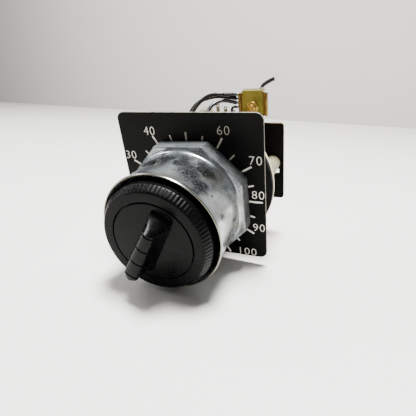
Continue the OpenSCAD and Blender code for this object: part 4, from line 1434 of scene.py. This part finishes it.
@dataclass
class Transformer:
    """The wound core: turns of enamelled wire round a taped ring."""

    turns: int = 104
    wire: float = 0.27
    sides: int = 5
    bend: float = 0.7
    bore: float = 9.2
    gap: float = 40.0

    def winding(self) -> None:
        """Bend one turn round the core's section, then repeat it along the winding's arc."""
        low, high = span("winding")
        inner, outer = self.bore + self.wire, high.x - self.wire
        front, back = low.y + self.wire, high.y - self.wire
        shape = Shape()
        mesh = shape.mesh
        ring = bmesh.ops.create_circle(mesh, cap_ends=False, segments=self.sides, radius=self.wire)["verts"]
        shape.move(ring, lambda p: Vector((outer - self.bend, front + p.x, p.y)))
        edges = list({e for v in ring for e in v.link_edges})
        corners = (
            (inner + self.bend, front + self.bend), (inner + self.bend, back - self.bend),
            (outer - self.bend, back - self.bend), (outer - self.bend, front + self.bend),
        )
        runs = (
            Vector((inner - outer + 2 * self.bend, 0, 0)), Vector((0, back - front - 2 * self.bend, 0)),
            Vector((outer - inner - 2 * self.bend, 0, 0)), Vector((0, front - back + 2 * self.bend, 0)),
        )
        for (x, y), run in zip(corners, runs):
            grown = bmesh.ops.extrude_edge_only(mesh, edges=edges)["geom"]
            verts = only(bmesh.types.BMVert, grown)
            bmesh.ops.translate(mesh, verts=verts, vec=run)
            edges = only(bmesh.types.BMEdge, grown)
            bent = bmesh.ops.spin(
                mesh, geom=verts + edges, cent=(x, y, 0), axis=(0, 0, 1), dvec=(0, 0, 0),
                angle=-math.pi / 2, steps=2, use_merge=False, use_duplicate=False,
            )["geom_last"]
            edges = only(bmesh.types.BMEdge, bent)
        bmesh.ops.remove_doubles(mesh, verts=mesh.verts, dist=1e-3)
        bmesh.ops.recalc_face_normals(mesh, faces=mesh.faces)
        margin = math.degrees(self.wire / inner)
        start, arc = -90 + self.gap / 2 + margin, 360 - self.gap - 2 * margin
        bmesh.ops.rotate(mesh, verts=mesh.verts, matrix=Matrix.Rotation(-math.radians(start), 3, "Y"))
        whole = list(mesh.verts) + list(mesh.edges) + list(mesh.faces)
        bmesh.ops.spin(
            mesh, geom=whole, cent=(0, 0, 0), axis=SPINDLE, dvec=(0, 0, 0), angle=-math.radians(arc),
            steps=self.turns - 1, use_merge=False, use_duplicate=True,
        )
        shape.finish("winding_turns", [MAGNET_WIRE], ["winding"], recalculate=False)

    def build(self) -> None:
        """Make the winding and dress the core's hidden parts."""
        self.winding()
        dress_node("core_wrap", FIBRE)
        dress_node("toroid_core", CORE_STEEL)
        dress_node("end_leads", MAGNET_WIRE)


@dataclass
class Hardware:
    """Plates, brackets, screws and small turned parts, each softened from its CAD node."""

    thread_radius: float = 1.6
    fixed: tuple[tuple[str, Finish, float], ...] = (
        ("front_bush", BRONZE, 0.2), ("rear_bush", BRONZE, 0.2), ("rear_bearing", BRONZE, 0.2),
        ("stop_pin", ZINC_PLATE, 0.25), ("post_screws_front", ZINC_PLATE, 0.12),
        ("post_screws_rear", ZINC_PLATE, 0.22), ("core_spool", FIBRE, 0.15),
        ("spool_screws", ZINC_PLATE, 0.2), ("rear_insulator", FIBRE, 0.08),
        ("collector_finger", BRONZE, 0.1), ("collector_rivets", ZINC_PLATE, 0.2),
        ("bracket_rivets", ZINC_PLATE, 0.3), ("wire_saddle", BRONZE, 0.22), ("tag_board", PHENOLIC, 0.15),
        ("solder_tags", TINNED, 0.1), ("tag_rivets", ZINC_PLATE, 0.15),
    )
    turning: tuple[tuple[str, Finish, float], ...] = (
        ("knob_screw", ZINC_PLATE, 0.2), ("spindle", GROUND_STEEL, 0.2), ("thrust_washer", NYLON, 0.1),
        ("spindle_clip", GROUND_STEEL, 0.12), ("rear_clip", GROUND_STEEL, 0.12),
        ("stop_collar", BRASS, 0.2), ("stop_collar_screw", ZINC_PLATE, 0.1), ("brush_hub", PHENOLIC, 0.25),
        ("slip_ring", BRASS, 0.15), ("brush_arm", ZINC_PLATE, 0.18), ("brush_holder", BRASS, 0.15),
        ("carbon_brush", CARBON, 0.12), ("brush_spring", BRONZE, 0.06),
    )

    def soften(self, node: str, width: float, least: float = 60.0, segments: int = 2) -> Shape:
        """Take in a CAD node's mesh with its sharp edges rounded."""
        shape = Shape()
        shape.copy_node(node)
        shape.ease(width, least, segments)
        return shape

    def back_plate(self) -> None:
        """Soften the back plate's outline and show its paper core along the sawn edges."""
        shape = self.soften("back_plate", 0.16)
        bmesh.ops.recalc_face_normals(shape.mesh, faces=shape.mesh.faces)
        for face in shape.mesh.faces:
            face.material_index = 1 if abs(face.normal.y) < 0.6 else 0
        shape.finish("back_plate_sawn", [BLACK_ENAMEL, SAWN_EDGE], ["back_plate"])

    def bracket(self) -> None:
        """Soften the folded bracket."""
        shape = self.soften("terminal_bracket", 0.28, segments=3)
        shape.finish("terminal_bracket_plated", [CHROMATE], ["terminal_bracket"])

    def terminal(self) -> None:
        """Turn the terminal screw's threaded end, and soften its head and nut."""
        low, _ = span("terminal_screw")
        nut_low, nut_high = span("terminal_nut")
        strap_low, strap_high = span("terminal_bracket")
        centre = Vector(((strap_low.x + strap_high.x) / 2, 0, (nut_low.z + nut_high.z) / 2))
        shape = self.soften("terminal_screw", 0.25)
        radius = self.thread_radius
        front = [v for v in shape.mesh.verts if v.co.y < nut_low.y - 0.05]
        shape.move(front, lambda p: centre + Vector(((p.x - centre.x) * 0.8, p.y, (p.z - centre.z) * 0.8)))
        ridges = [(radius * 0.6, low.y + 0.2)]
        for k in range(3):
            station = low.y + 0.3 + 0.45 * k
            ridges += [(radius * 0.8, station), (radius, station + 0.2), (radius * 0.8, station + 0.4)]
        ridges.append((radius * 0.6, low.y + 1.7))
        shape.turn(ridges, 32, at=(centre.x, centre.z))
        shape.finish("terminal_screw_threaded", [BRASS], ["terminal_screw"])
        self.soften("terminal_nut", 0.3, segments=3).finish("terminal_nut_round", [BRASS], ["terminal_nut"])

    def build(self) -> None:
        """Make every small part."""
        self.back_plate()
        self.bracket()
        self.terminal()
        for body, rows in ((Body.OPERATOR, self.fixed), (Body.ROTOR, self.turning)):
            for node, finish, width in rows:
                self.soften(node, width, 50.0).finish(f"{node}_part", [finish], [node], body)
        dress_node("shaft_seal", NEOPRENE)


def main() -> None:
    """Build the scene: camera and leads first, then the object from front to back, then light and table."""
    logging.basicConfig(level=logging.INFO, format="%(message)s")
    studio = Studio()
    studio.place_camera()
    for part in (LeadWires(), Dial(), RingNut(), Knob(), Operator(), Transformer(), Hardware()):
        part.build()
    studio.light()
    studio.lay_table()


if __name__ == "__main__":
    main()
